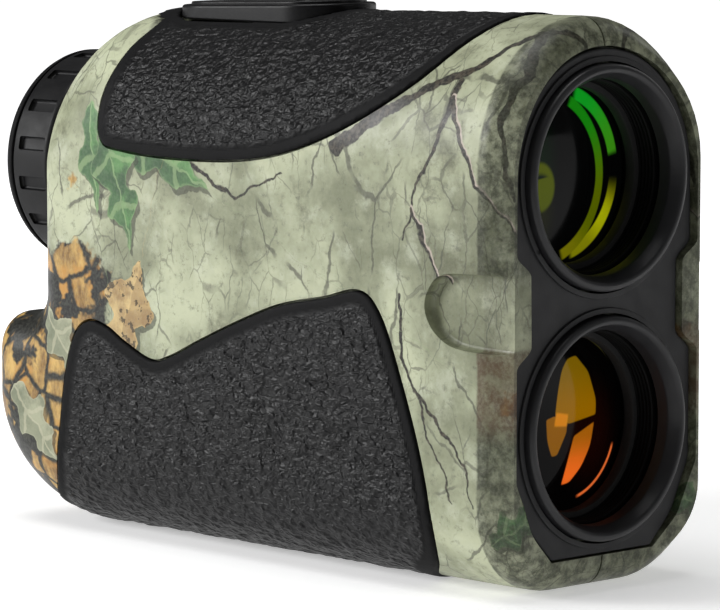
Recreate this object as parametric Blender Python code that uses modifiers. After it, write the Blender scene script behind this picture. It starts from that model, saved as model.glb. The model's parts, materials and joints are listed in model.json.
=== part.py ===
"""Handheld laser rangefinder: two moulded half shells around a folded optical train.

Metres, +Z up.  +X points out of the objectives, -Y is the user's right-hand side.
The origin is the centre of the footprint, on the plane the lower grip rests on.
Side-view places are given as (s, z): s is the distance behind the front plate and
z the height above the resting plane.
"""
import math

import bmesh
import bpy
from mathutils import Matrix, Vector

MM = 0.001

# ---------------------------------------------------------------- driving dimensions
FRONT_X = 51.5 * MM          # plane of the front plate
GRIP_PROUD = 0.3 * MM        # rubber stands this far out of the shell
BODY_BASE = GRIP_PROUD       # underside of the shell
BODY_TOP = 75.5 * MM         # top of the front edge
TOP_REAR = 74.1 * MM         # the top slopes down to here, 78 mm behind the plate
BODY_HALF_WIDTH = 19.2 * MM
BODY_REAR = 94.0 * MM        # upper rear wall, behind the front plate
BUMP_REAR = 104.3 * MM       # rear of the battery bump
TOP_RADIUS = 19.2 * MM       # arch of the top, across the body
BASE_RADIUS = 12.5 * MM      # lower edges, across the body
REAR_RADIUS = 6.0 * MM       # rear edges
WALL = 1.8 * MM
GAP = 0.3 * MM               # clearance between neighbouring pieces
SEAM = 0.15 * MM             # half of the gap between the two shells

LENS_MID = 38.0 * MM         # height midway between the two lens axes
LENS_SPACING = 33.0 * MM
UPPER_AXIS = LENS_MID + LENS_SPACING / 2
LOWER_AXIS = LENS_MID - LENS_SPACING / 2
EYE_AXIS = 51.5 * MM         # height of the eyepiece axis
GRIP_SLOTS = 17              # finger slots round the focusing ring

FRONT_ROUND = 4.1 * MM       # front edge along the top and bottom
LIP_PROUD = 1.0 * MM         # side lips reach this far in front of the plate
PLATE_THICK = 2.0 * MM
POCKET_DEPTH = PLATE_THICK + GAP
CAVITY_FRONT = 4.2 * MM

GRIP_THICK = 1.1 * MM
BATTERY_AXIS = 17.3 * MM
BATTERY_RADIUS = 7.8 * MM
BATTERY_LENGTH = 27.0 * MM
DOOR_HALF_WIDTH = 10.5 * MM
HINGE_S = 100.5 * MM
HINGE_Z = 8.6 * MM
KEY_S = 62.5 * MM            # centre of the button island, behind the front plate
KEY_HALF_LENGTH = 16.3 * MM
KEY_HALF_WIDTH = 7.8 * MM
KEY_TOP = 75.9 * MM

OUTLINE_STEPS = 4            # segments per outline stretch of the body
CROSS_STEPS = 5              # segments across each rounded edge
ROUND_STEPS = 28             # segments round the large turned pieces
SMALL_STEPS = 14             # segments round the small ones

# ---------------------------------------------------------------- scene helpers
for old in list(bpy.data.objects):
    bpy.data.objects.remove(old, do_unlink=True)

PARTS = bpy.data.collections.new("laser_rangefinder")
CUTTERS = bpy.data.collections.new("cutters")
bpy.context.scene.collection.children.link(PARTS)
bpy.context.scene.collection.children.link(CUTTERS)


def material(name, colour, roughness, metallic=0.0, transmission=0.0):
    """A Principled material, made once per name."""
    if name in bpy.data.materials:
        return bpy.data.materials[name]
    made = bpy.data.materials.new(name)
    made.use_nodes = True
    shader = made.node_tree.nodes["Principled BSDF"]
    shader.inputs["Base Color"].default_value = (*colour, 1.0)
    shader.inputs["Roughness"].default_value = roughness
    shader.inputs["Metallic"].default_value = metallic
    shader.inputs["Transmission Weight"].default_value = transmission
    return made


FINISHES = {
    "camo_shell": ((0.36, 0.39, 0.28), 0.45, 0.0, 0.0),
    "black_plastic": ((0.03, 0.03, 0.032), 0.45, 0.0, 0.0),
    "grip_rubber": ((0.02, 0.02, 0.021), 0.7, 0.0, 0.0),
    "key_plastic": ((0.03, 0.03, 0.032), 0.35, 0.0, 0.0),
    "barrel_black": ((0.01, 0.01, 0.01), 0.6, 0.0, 0.0),
    "upper_glass": ((0.35, 0.75, 0.4), 0.05, 0.0, 0.8),
    "lower_glass": ((0.9, 0.5, 0.15), 0.05, 0.0, 0.8),
    "clear_glass": ((0.85, 0.9, 0.92), 0.05, 0.0, 0.8),
    "seal_rubber": ((0.015, 0.015, 0.015), 0.8, 0.0, 0.0),
    "frame_plastic": ((0.08, 0.08, 0.085), 0.55, 0.0, 0.0),
    "circuit_board": ((0.02, 0.16, 0.07), 0.4, 0.0, 0.0),
    "device_metal": ((0.55, 0.55, 0.56), 0.35, 1.0, 0.0),
    "screw_steel": ((0.4, 0.4, 0.41), 0.3, 1.0, 0.0),
    "battery_wrap": ((0.08, 0.1, 0.16), 0.35, 0.0, 0.0),
}


def finish(obj, slot):
    """Give an object its material and put it in the object's collection."""
    obj.data.materials.clear()
    obj.data.materials.append(material(slot, *FINISHES[slot]))
    PARTS.objects.link(obj)
    return obj


def cutter(obj):
    """Mark an object as a cutter."""
    obj.hide_render = True
    obj.display_type = "WIRE"
    CUTTERS.objects.link(obj)
    return obj


def from_bmesh(name, bm):
    """Turn a bmesh into an unlinked object with outward faces."""
    bmesh.ops.recalc_face_normals(bm, faces=bm.faces)
    if bm.calc_volume(signed=True) < 0:
        bmesh.ops.reverse_faces(bm, faces=bm.faces)
    mesh = bpy.data.meshes.new(name)
    bm.to_mesh(mesh)
    bm.free()
    mesh.shade_smooth()
    mesh.set_sharp_from_angle(angle=math.radians(35))
    return bpy.data.objects.new(name, mesh)


def place(s, z, y=0.0):
    """World position of a side-view place."""
    return Vector((FRONT_X - s, y, z))


def boolean(obj, other, operation="DIFFERENCE"):
    """Cut or join with a Boolean modifier."""
    modifier = obj.modifiers.new(other.name, "BOOLEAN")
    modifier.operation = operation
    modifier.object = other
    modifier.solver = "EXACT"
    return obj


def bevel(obj, width, segments=2, angle=35):
    """Round the sharp edges of an object."""
    modifier = obj.modifiers.new("edges", "BEVEL")
    modifier.width = width
    modifier.segments = segments
    modifier.limit_method = "ANGLE"
    modifier.angle_limit = math.radians(angle)
    return obj


AXIS_TURNS = {
    "X": Matrix.Rotation(math.radians(90), 4, "Y"),
    "Y": Matrix.Rotation(math.radians(-90), 4, "X"),
    "Z": Matrix.Identity(4),
}


def turned(name, profile, at, axis="X", steps=ROUND_STEPS):
    """Turn a profile of (radius, height) about an axis.

    The profile starts at its high outer end, runs down the outer side and comes back
    inside.  A profile that ends on the axis is solid there.
    """
    hollow = profile[0][0] > 0 and profile[-1][0] > 0
    bm = bmesh.new()
    verts = [bm.verts.new((radius, 0.0, height)) for radius, height in profile]
    for first, second in zip(verts, verts[1:]):
        bm.edges.new((first, second))
    if hollow:
        bm.edges.new((verts[-1], verts[0]))
    mesh = bpy.data.meshes.new(name)
    bm.to_mesh(mesh)
    bm.free()
    obj = bpy.data.objects.new(name, mesh)
    screw = obj.modifiers.new("turn", "SCREW")
    screw.steps = steps
    screw.render_steps = steps
    screw.use_merge_vertices = True
    screw.merge_threshold = 0.00001
    screw.use_smooth_shade = True
    obj.matrix_world = Matrix.Translation(at) @ AXIS_TURNS[axis]
    return obj


def ring_along_x(name, outline, z, steps=ROUND_STEPS):
    """A turned piece on an axis along X, from (s, radius) places."""
    profile = [(radius, FRONT_X - s) for s, radius in outline]
    return turned(name, profile, Vector((0.0, 0.0, z)), "X", steps)


def in_metres(pairs):
    """(s, radius) pairs in millimetres as metres."""
    return [(s * MM, radius * MM) for s, radius in pairs]


def tube_along_x(name, z, outer, inner, s_front, s_rear):
    """A plain tube on an axis along X."""
    outline = [(s_front, outer), (s_rear, outer), (s_rear, inner), (s_front, inner)]
    return ring_along_x(name, outline, z)


def rod(name, at, radius, low, high, axis="X", steps=ROUND_STEPS):
    """A solid cylinder from low to high along an axis through a place."""
    bm = bmesh.new()
    bmesh.ops.create_cone(bm, cap_ends=True, segments=steps, radius1=radius,
                          radius2=radius, depth=high - low)
    bmesh.ops.translate(bm, verts=bm.verts, vec=(0.0, 0.0, (high + low) / 2))
    obj = from_bmesh(name, bm)
    obj.matrix_world = Matrix.Translation(at) @ AXIS_TURNS[axis]
    return obj


def block(name, s_range, y_range, z_range):
    """A box between two places in s, two in y and two in z."""
    bm = bmesh.new()
    bmesh.ops.create_cube(bm, size=1.0)
    lengths = [abs(high - low) for low, high in (s_range, y_range, z_range)]
    bmesh.ops.scale(bm, verts=bm.verts, vec=lengths)
    obj = from_bmesh(name, bm)
    obj.location = place(sum(s_range) / 2, sum(z_range) / 2, sum(y_range) / 2)
    return obj


def smooth_loop(corners, steps=3):
    """A closed Catmull-Rom curve through the given points."""
    count = len(corners)
    points = []
    for index in range(count):
        before, start, end, after = (Vector(corners[(index + k) % count]) for k in (-1, 0, 1, 2))
        for step in range(steps):
            t = step / steps
            points.append(0.5 * (2 * start + (end - before) * t
                                 + (2 * before - 5 * start + 4 * end - after) * t * t
                                 + (3 * start - before - 3 * end + after) * t ** 3))
    return points


def outline_solid(name, points, low, high, plane):
    """Extrude a closed flat outline.

    plane "side": points are (s, z) and the solid runs along Y; plane "front": points are
    (y, z) and it runs along s; plane "top": points are (s, y) and it runs along Z.
    """
    curve = bpy.data.curves.new(name, "CURVE")
    curve.dimensions = "2D"
    curve.fill_mode = "BOTH"
    curve.extrude = (high - low) / 2
    spline = curve.splines.new("POLY")
    spline.points.add(len(points) - 1)
    for target, point in zip(spline.points, points):
        target.co = (point[0], point[1], 0.0, 1.0)
    spline.use_cyclic_u = True
    source = bpy.data.objects.new(name + "_curve", curve)
    CUTTERS.objects.link(source)
    evaluated = source.evaluated_get(bpy.context.evaluated_depsgraph_get())
    mesh = bpy.data.meshes.new_from_object(evaluated)
    bpy.data.objects.remove(source, do_unlink=True)
    bpy.data.curves.remove(curve)
    bm = bmesh.new()
    bm.from_mesh(mesh)
    bpy.data.meshes.remove(mesh)
    bmesh.ops.remove_doubles(bm, verts=bm.verts, dist=0.00001)
    middle = (high + low) / 2
    for vert in bm.verts:
        u, v, w = vert.co
        w += middle
        if plane == "side":
            vert.co = (FRONT_X - u, w, v)
        elif plane == "front":
            vert.co = (FRONT_X - w, u, v)
        else:
            vert.co = (FRONT_X - u, v, w)
    return from_bmesh(name, bm)


# ---------------------------------------------------------------- outer form of the body
def arc(centre, radii, start, end, steps):
    """Points of an elliptical arc in the side view, without its last point."""
    points = []
    for step in range(steps):
        angle = math.radians(start + (end - start) * step / steps)
        points.append((centre[0] + radii[0] * math.cos(angle),
                       centre[1] + radii[1] * math.sin(angle)))
    return points


def line(start, end, steps):
    """Points of a straight stretch, without its last point."""
    return [(start[0] + (end[0] - start[0]) * step / steps,
             start[1] + (end[1] - start[1]) * step / steps) for step in range(steps)]


def blend(start, end, steps):
    """Even values from start to end, without the last."""
    return [start + (end - start) * step / steps for step in range(steps)]


FRONT_SECTION = 6.0 * MM     # the body is a plain section from here to its front edge
REAR_FLAT = BODY_HALF_WIDTH - REAR_RADIUS
BASE_FLAT = BODY_HALF_WIDTH - BASE_RADIUS


def body_stations():
    """Mid-plane outline, edge of the flat side, and width of the flat back, in step.

    The stretches run from the front of the underside, round the rear, to the front of
    the top.
    """
    n = OUTLINE_STEPS
    side_low = BODY_BASE + BASE_RADIUS
    side_high = BODY_TOP - TOP_RADIUS
    bump_side = BUMP_REAR - 5.5 * MM
    outline = line((FRONT_SECTION, BODY_BASE), (86 * MM, BODY_BASE), 2 * n)
    side = line((FRONT_SECTION, side_low), (84 * MM, side_low), 2 * n)
    flat = blend(BASE_FLAT, BASE_FLAT, 2 * n)
    outline += arc((86 * MM, BODY_BASE + 16 * MM), (BUMP_REAR - 86 * MM, 16 * MM), -90, 0, 2 * n)
    side += arc((84 * MM, 21.5 * MM), (bump_side - 84 * MM, 21.5 * MM - side_low), -90, 0, 2 * n)
    flat += blend(BASE_FLAT, REAR_FLAT, 2 * n)
    outline += line((BUMP_REAR, BODY_BASE + 16 * MM), (BUMP_REAR, 26 * MM), 2)
    side += line((bump_side, 21.5 * MM), (bump_side, 22.5 * MM), 2)
    flat += blend(REAR_FLAT, REAR_FLAT, 2)
    outline += arc((BUMP_REAR - 4 * MM, 26 * MM), (4 * MM, 4 * MM), 0, 90, n)
    side += arc((bump_side - 1.5 * MM, 22.5 * MM), (1.5 * MM, 1.5 * MM), 0, 90, n)
    flat += blend(REAR_FLAT, REAR_FLAT, n)
    outline += line((BUMP_REAR - 4 * MM, 30 * MM), (BODY_REAR + 5 * MM, 30 * MM), 1)
    side += line((bump_side - 1.5 * MM, 24 * MM), (94.5 * MM, 24 * MM), 1)
    flat += blend(REAR_FLAT, REAR_FLAT, 1)
    outline += arc((BODY_REAR + 5 * MM, 35 * MM), (5 * MM, 5 * MM), -90, -180, n)
    side += arc((94.5 * MM, 30.5 * MM), (6.5 * MM, 6.5 * MM), -90, -180, n)
    flat += blend(REAR_FLAT, REAR_FLAT, n)
    outline += line((BODY_REAR, 35 * MM), (BODY_REAR, 55 * MM), 3)
    side += line((88 * MM, 30.5 * MM), (88 * MM, 46 * MM), 3)
    flat += blend(REAR_FLAT, REAR_FLAT, 3)
    outline += arc((78 * MM, 55 * MM), (BODY_REAR - 78 * MM, TOP_REAR - 55 * MM), 0, 90, 2 * n)
    side += arc((75 * MM, 46 * MM), (13 * MM, side_high - 46 * MM), 0, 90, 2 * n)
    flat += blend(REAR_FLAT, 0.0, 2 * n)
    outline += line((78 * MM, TOP_REAR), (FRONT_SECTION, BODY_TOP), 2 * n)
    side += line((75 * MM, side_high), (FRONT_SECTION, side_high), 2 * n)
    flat += blend(0.0, 0.0, 2 * n)
    outline.append((FRONT_SECTION, BODY_TOP))
    side.append((FRONT_SECTION, side_high))
    flat.append(0.0)
    return outline, side, flat


def body_solid(name, inset=0.0, front=None):
    """The body's closed outer form, moved inwards by inset.

    Without front it has its moulded front edge, and with it a plain cut at that s.
    """
    outline, side, flat = body_stations()
    half_width = BODY_HALF_WIDTH - inset
    fractions = [math.sin(math.radians(90 * k / CROSS_STEPS)) for k in range(CROSS_STEPS + 1)]
    bm = bmesh.new()
    columns = []
    for index, (edge, rim, width) in enumerate(zip(outline, side, flat)):
        ahead = Vector(outline[min(index + 1, len(outline) - 1)])
        behind = Vector(outline[max(index - 1, 0)])
        along = (ahead - behind).normalized()
        edge = Vector(edge) + Vector((-along.y, along.x)) * inset
        rim = Vector(rim)
        column = []
        for fraction in fractions:
            y = width + (half_width - width) * fraction
            drop = 1.0 - math.sqrt(max(0.0, 1.0 - fraction ** 2))
            point = edge + (rim - edge) * drop
            column.append((y, point))
        mirrored = [(-y, point) for y, point in reversed(column)]
        if width == 0.0:
            mirrored.pop()
        columns.append([bm.verts.new(place(p[0], p[1], y)) for y, p in mirrored + column])
    for before, after in zip(columns, columns[1:]):
        join_rows(bm, before, after)
    top, base = columns[-1], columns[0]
    right = [bm.verts.new(base[0].co.lerp(top[0].co, k / 6)) for k in range(1, 6)]
    left = [bm.verts.new(top[-1].co.lerp(base[-1].co, k / 6)) for k in range(1, 6)]
    bm.faces.new([column[0] for column in columns] + right[::-1])
    bm.faces.new([column[-1] for column in reversed(columns)] + left[::-1])
    ring = top + left + base[::-1] + right
    front_edge(bm, ring, inset, front)
    bmesh.ops.remove_doubles(bm, verts=bm.verts, dist=0.000001)
    return from_bmesh(name, bm)


def join_rows(bm, before, after):
    """Skin two rows of vertices whose counts may differ by a doubled middle."""
    if len(before) == len(after):
        for k in range(len(before) - 1):
            bm.faces.new((before[k], before[k + 1], after[k + 1], after[k]))
        return
    half = len(after) // 2
    for k in range(half):
        bm.faces.new((before[k], before[k + 1], after[k + 1], after[k]))
        bm.faces.new((before[-1 - k], after[-1 - k], after[-2 - k], before[-2 - k]))
    bm.faces.new((before[half], before[half + 1], after[half]))


def front_edge(bm, ring, inset, front):
    """Close the front: rounded along the top and base, a shallow proud lip on the sides."""
    centre = Vector((FRONT_X, 0.0, LENS_MID))
    count = len(ring)
    normals = []
    for index, vert in enumerate(ring):
        along = ring[(index + 1) % count].co - ring[index - 1].co
        normal = Vector((0.0, -along.z, along.y)).normalized()
        if normal.dot(centre - vert.co) < 0:
            normal.negate()
        normals.append(normal)
    steps = [25, 50, 75, 90] if front is None else [90]
    previous = ring
    for degrees in steps:
        angle = math.radians(degrees)
        row = []
        for vert, normal in zip(ring, normals):
            if front is not None:
                row.append(bm.verts.new((FRONT_X - front, vert.co.y, vert.co.z)))
                continue
            share = min(1.0, degrees / 75)
            side_s = FRONT_ROUND - (FRONT_ROUND + LIP_PROUD) * share
            side_in = 1.5 * MM * share + (0.7 * MM if degrees == 90 else 0.0)
            round_s = FRONT_ROUND * (1 - math.sin(angle))
            round_in = FRONT_ROUND * (1 - math.cos(angle))
            weight = normal.y ** 2
            s = round_s + (side_s - round_s) * weight
            inward = round_in + (side_in - round_in) * weight
            point = vert.co + normal * inward
            row.append(bm.verts.new((FRONT_X - s + inset, point.y, point.z)))
        for k in range(count):
            following = (k + 1) % count
            bm.faces.new((previous[k], previous[following], row[following], row[k]))
        previous = row
    bm.faces.new(previous)


def plate_outline(grow=0.0):
    """Front plate, as (y, z): arched top, waist notches, bevelled lower corners."""
    half = 16.9 * MM + grow
    waist = 14.2 * MM + grow
    points = []
    for degrees in range(90, 0, -15):
        angle = math.radians(degrees)
        points.append((half * math.cos(angle), UPPER_AXIS + half * math.sin(angle)))
    points.append((half, UPPER_AXIS))
    for upwards in (1, -1):
        stretch = range(0, 5) if upwards == 1 else range(4, -1, -1)
        for k in stretch:
            share = (1 - math.cos(math.pi * k / 4)) / 2
            height = LENS_MID + upwards * (7.5 * MM - 3.0 * MM * k / 4)
            points.append((half + (waist - half) * share, height))
    for y, z in ((16.9, 16.0), (15.3, 12.7), (13.5, 8.9), (9.4, 4.9)):
        points.append((y * MM + grow, z * MM - grow * 0.7))
    right = [(-y, z) for y, z in reversed(points[1:])]
    return points + right


# ---------------------------------------------------------------- outlines of the soft covers
TOP_GRIP = [(s * MM, z * MM) for s, z in (
    (83.0, 80.0), (82.6, 75.0), (80.6, 73.2), (77.6, 72.2), (78.2, 68.0), (79.2, 61.5),
    (78.3, 56.2), (74.0, 55.0), (63.0, 54.5), (50.0, 55.0), (39.0, 57.0), (28.0, 61.2),
    (18.6, 67.0), (14.0, 72.7), (12.4, 76.5), (12.0, 80.0), (42.0, 80.5))]
LOWER_GRIP = [(s * MM, z * MM) for s, z in (
    (81.4, 30.4), (84.4, 28.0), (86.5, 21.6), (87.9, 13.0), (90.0, 7.0), (94.5, 2.4),
    (97.0, -3.0), (60.0, -4.0), (22.0, -3.0), (20.5, 0.4), (15.1, 4.0), (13.1, 9.5),
    (14.7, 17.7), (18.4, 27.9), (22.2, 36.0), (26.2, 38.9), (33.0, 37.5), (41.6, 35.8),
    (49.5, 33.0), (57.7, 29.6), (64.0, 26.8), (68.0, 26.0), (73.5, 28.0), (77.5, 29.9))]


def grown(points, amount):
    """A closed loop of places moved outwards by an amount."""
    area = sum(a[0] * b[1] - b[0] * a[1] for a, b in zip(points, points[1:] + points[:1]))
    sign = 1.0 if area > 0 else -1.0
    moved = []
    for index, point in enumerate(points):
        along = Vector(points[(index + 1) % len(points)]) - Vector(points[index - 1])
        outward = Vector((along.y, -along.x)).normalized() * sign
        moved.append(Vector(point) + outward * amount)
    return moved


def cover(name, corners, slot, key_gap=None):
    """A rubber cover: the layer of the body's surface inside a side-view outline."""
    points = smooth_loop(corners)
    wide = 30 * MM
    outer = body_solid(name, -GRIP_PROUD)
    core = cutter(body_solid(name + "_core", GRIP_THICK))
    inside = cutter(outline_solid(name + "_outline", points, -wide, wide, "side"))
    boolean(outer, core)
    boolean(outer, inside, "INTERSECT")
    if key_gap is not None:
        boolean(outer, key_gap)
    finish(outer, slot)
    recess = body_solid(name + "_recess", -3 * MM)
    floor = cutter(body_solid(name + "_floor", GRIP_THICK + GAP))
    around = grown(points, GAP)
    window = cutter(outline_solid(name + "_window", around, -wide, wide, "side"))
    boolean(recess, floor)
    boolean(recess, window, "INTERSECT")
    return outer, cutter(recess)


# ---------------------------------------------------------------- button island outlines
def island(grow=0.0, steps=8):
    """Stadium outline of the button island, as (s, y)."""
    width = KEY_HALF_WIDTH + grow
    straight = KEY_HALF_LENGTH - KEY_HALF_WIDTH
    points = []
    for end, start in ((1, -90), (-1, 90)):
        for step in range(steps + 1):
            angle = math.radians(start + 180 * step / steps)
            points.append((KEY_S + end * straight + width * math.cos(angle),
                           width * math.sin(angle)))
    return points


def button_outline(forward, steps=8):
    """One half of the island inside its frame, parted from the other by a lazy S."""
    width = KEY_HALF_WIDTH - 1.3 * MM
    straight = KEY_HALF_LENGTH - KEY_HALF_WIDTH
    points = []
    for step in range(steps + 1):
        y = width * (1 - 2 * step / steps)
        swing = 4.5 * MM * math.sin(math.pi * y / width)
        points.append((swing - GAP / 2, y))
    for step in range(steps + 1):
        angle = math.radians(-90 - 180 * step / steps)
        points.append((width * math.cos(angle) - straight, width * math.sin(angle)))
    turn = 1 if forward else -1
    return [(KEY_S + turn * s, turn * y) for s, y in points]


def button(name, forward):
    """One of the two interlocking buttons, with its stem and a thumb groove."""
    key = outline_solid(name, button_outline(forward), 72.6 * MM, KEY_TOP, "top")
    s = KEY_S + (-9.0 * MM if forward else 9.0 * MM)
    groove = turned(name + "_groove", groove_profile(), place(s, KEY_TOP), "Z", SMALL_STEPS)
    boolean(key, cutter(groove))
    stem = cutter(rod(name + "_stem", place(key_stem(forward), 0), 1.5 * MM, 71.7 * MM, 73.5 * MM,
                      "Z", 12))
    boolean(key, stem, "UNION")
    return finish(key, "key_plastic")


def key_stem(forward):
    """Place of a button's stem and its switch."""
    return KEY_S + (-8.2 * MM if forward else 6.4 * MM)


def groove_profile():
    """Shallow round groove pressed into a button's top."""
    outer, inner, depth = 4.2 * MM, 3.2 * MM, 0.35 * MM
    return [(outer, 1 * MM), (outer, -depth), (inner, -depth), (inner, 1 * MM)]


# ---------------------------------------------------------------- shells, plate and covers
def make_shells():
    """Two half shells, with every pocket, window and boss they need."""
    island_gap = cutter(outline_solid("island_gap", island(GAP), 60 * MM, 90 * MM, "top"))
    top_grip, top_recess = cover("top_grip", TOP_GRIP, "grip_rubber", island_gap)
    lower_grip, lower_recess = cover("lower_grip", LOWER_GRIP, "grip_rubber")
    cavity = cutter(body_solid("cavity", WALL + GRIP_THICK, CAVITY_FRONT))
    cuts = [cavity, top_recess, lower_recess]
    pocket = outline_solid("plate_pocket", plate_outline(GAP), -4 * MM, POCKET_DEPTH, "front")
    cuts.append(cutter(pocket))
    for name, z in (("upper_port", UPPER_AXIS), ("lower_port", LOWER_AXIS)):
        cuts.append(cutter(rod(name, place(0, z), 14.5 * MM, -8 * MM, 2 * MM, "X")))
    eye_port = rod("eye_port", place(0, EYE_AXIS), 12.3 * MM, -100 * MM, -78 * MM, "X")
    cuts.append(cutter(eye_port))
    cuts.append(cutter(outline_solid("key_port", island(-0.9 * MM), 60 * MM, 90 * MM, "top")))
    cuts += door_cutters()
    for side in (-1, 1):
        scallop = block("scallop", (-5 * MM, 14 * MM), (0, 8 * MM), (32.6 * MM, 42.6 * MM))
        scallop.name = "scallop_right" if side < 0 else "scallop_left"
        scallop.location.y = side * (BODY_HALF_WIDTH - 1.6 * MM + 4 * MM)
        cuts.append(cutter(bevel(scallop, 1.5 * MM, 3)))
    for name, side in (("right_shell", -1), ("left_shell", 1)):
        shell = body_solid(name)
        away = sorted((SEAM * side, -40 * MM * side))
        middle = block(name + "_split", (-20 * MM, 130 * MM), away, (-20 * MM, 100 * MM))
        boolean(shell, cutter(middle))
        for cut in cuts:
            boolean(shell, cut)
        for index in range(len(SCREW_PLACES)):
            add_boss(shell, name, index, side)
        finish(shell, "camo_shell")


SCREW_PLACES = [(s * MM, z * MM, reach * MM) for s, z, reach in (
    (30, 35.4, 17.0), (40, 67.5, 10.0), (75.3, 66.9, 10.0), (60, 5.4, 10.4))]
SCREW_RADIUS = 1.0 * MM
SCREW_HEAD = 1.9 * MM
SCREW_SEAT = 8.7 * MM        # the heads bear this far from the seam
BOSS_RADIUS = 2.4 * MM


def add_boss(shell, name, index, side):
    """A screw boss from the seam outwards, with its screw hole."""
    tag = f"{name}_boss_{index}"
    s, z, reach = SCREW_PLACES[index]
    low, high = sorted((SEAM * side, reach * side))
    boolean(shell, cutter(rod(tag, place(s, z), BOSS_RADIUS, low, high, "Y", SMALL_STEPS)), "UNION")
    low, high = sorted((-0.5 * MM * side, (30 * MM if side < 0 else 9.6 * MM) * side))
    hole = rod(tag + "_hole", place(s, z), SCREW_RADIUS + 0.2 * MM, low, high, "Y", SMALL_STEPS)
    boolean(shell, cutter(hole))
    if side < 0:
        seat = rod(tag + "_seat", place(s, z), SCREW_HEAD + 0.3 * MM, -30 * MM, -SCREW_SEAT,
                   "Y", SMALL_STEPS)
        boolean(shell, cutter(seat))


def door_cutters():
    """Battery window in the rear bump, and the groove for the door's knuckle."""
    window = block("battery_window", (97 * MM, 112 * MM),
                   (-DOOR_HALF_WIDTH - GAP, DOOR_HALF_WIDTH + GAP),
                   (HINGE_Z, 26.2 * MM))
    half = DOOR_HALF_WIDTH + GAP
    groove = rod("knuckle_groove", place(HINGE_S, HINGE_Z), 1.7 * MM, -half, half, "Y", SMALL_STEPS)
    pin_bore = rod("pin_bore", place(HINGE_S, HINGE_Z), 0.9 * MM, -11.8 * MM, 11.8 * MM, "Y",
                   SMALL_STEPS)
    return [cutter(window), cutter(groove), cutter(pin_bore)]


def make_plate():
    """Front plate with two ports and a thin raised lip round each."""
    plate = outline_solid("front_plate", plate_outline(), 0.0, PLATE_THICK, "front")
    axes = (("upper", UPPER_AXIS), ("lower", LOWER_AXIS))
    for name, z in axes:
        lip = rod(name + "_lip", place(0, z), 15.9 * MM, -1 * MM, 0.35 * MM)
        boolean(plate, cutter(lip), "UNION")
    for name, z in axes:
        hole = rod(name + "_plate_port", place(0, z), 15.2 * MM, -5 * MM, 5 * MM)
        boolean(plate, cutter(hole))
    finish(plate, "black_plastic")


# ---------------------------------------------------------------- optics
def lens(name, z, slot, radius, s_middle, thickness, steps=ROUND_STEPS):
    """A biconvex lens with a cylindrical edge."""
    bulge = 0.35 * thickness
    half = thickness / 2
    profile = [(0.0, FRONT_X - s_middle + half)]
    rings = 3
    for k in range(1, rings + 1):
        r = radius * k / rings
        profile.append((r, FRONT_X - s_middle + half - bulge * (r / radius) ** 2))
    for k in range(rings, 0, -1):
        r = radius * k / rings
        profile.append((r, FRONT_X - s_middle - half + bulge * (r / radius) ** 2))
    profile.append((0.0, FRONT_X - s_middle - half))
    return finish(turned(name, profile, Vector((0.0, 0.0, z)), "X", steps), slot)


def make_objectives():
    """Retaining rings, barrels, lenses and seals of the two front channels."""
    for name, z in (("upper", UPPER_AXIS), ("lower", LOWER_AXIS)):
        ring = in_metres([(-1.5, 14.5), (-1.1, 14.9), (2.0, 14.9), (2.0, 12.9), (0.0, 13.0),
                          (-1.2, 13.6), (-1.5, 13.9)])
        finish(ring_along_x(name + "_retaining_ring", ring, z), "black_plastic")
        barrel = in_metres([(2.6, 14.2), (24.0, 14.2), (24.0, 11.0), (13.5, 11.6),
                            (13.4, 12.8), (2.6, 12.8)])
        finish(ring_along_x(name + "_lens_barrel", barrel, z), "barrel_black")
        lens(name + "_objective_lens", z, name + "_glass", 12.5 * MM, 10.4 * MM, 5.0 * MM)
        seal = tube_along_x(name + "_lens_seal", z, 12.5 * MM, 11.7 * MM, 5.4 * MM, 7.0 * MM)
        finish(seal, "seal_rubber")


def make_view_train():
    """Chassis, prisms and display behind the upper objective."""
    chassis = block("optical_chassis", (26 * MM, 77.5 * MM), (-11 * MM, 11 * MM),
                    (43 * MM, 64 * MM))
    inside = block("chassis_inside", (28 * MM, 76 * MM), (-9.6 * MM, 9.6 * MM),
                   (44.5 * MM, 70 * MM))
    boolean(chassis, cutter(inside))
    for name, z, s in (("chassis_front", UPPER_AXIS, 27), ("chassis_rear", EYE_AXIS, 77)):
        hole = rod(name, place(s * MM, z), 7.5 * MM, -4 * MM, 4 * MM, "X", SMALL_STEPS)
        boolean(chassis, cutter(hole))
    finish(chassis, "frame_plastic")
    roof = [(36.0, 46.0), (50.0, 46.0), (50.0, 60.0)]
    half = [(50.6, 61.0), (50.6, 47.5), (57.0, 46.0), (64.0, 53.0), (62.0, 61.0)]
    for name, corners in (("roof_prism", roof), ("half_prism", half)):
        points = [(s * MM, z * MM) for s, z in corners]
        prism = outline_solid(name, points, -8.5 * MM, 8.5 * MM, "side")
        finish(bevel(prism, 0.4 * MM, 1), "clear_glass")
    display = block("display_panel", (68 * MM, 70 * MM), (-9 * MM, 9 * MM), (45 * MM, 63 * MM))
    finish(bevel(display, 0.3 * MM, 1), "clear_glass")


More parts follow.
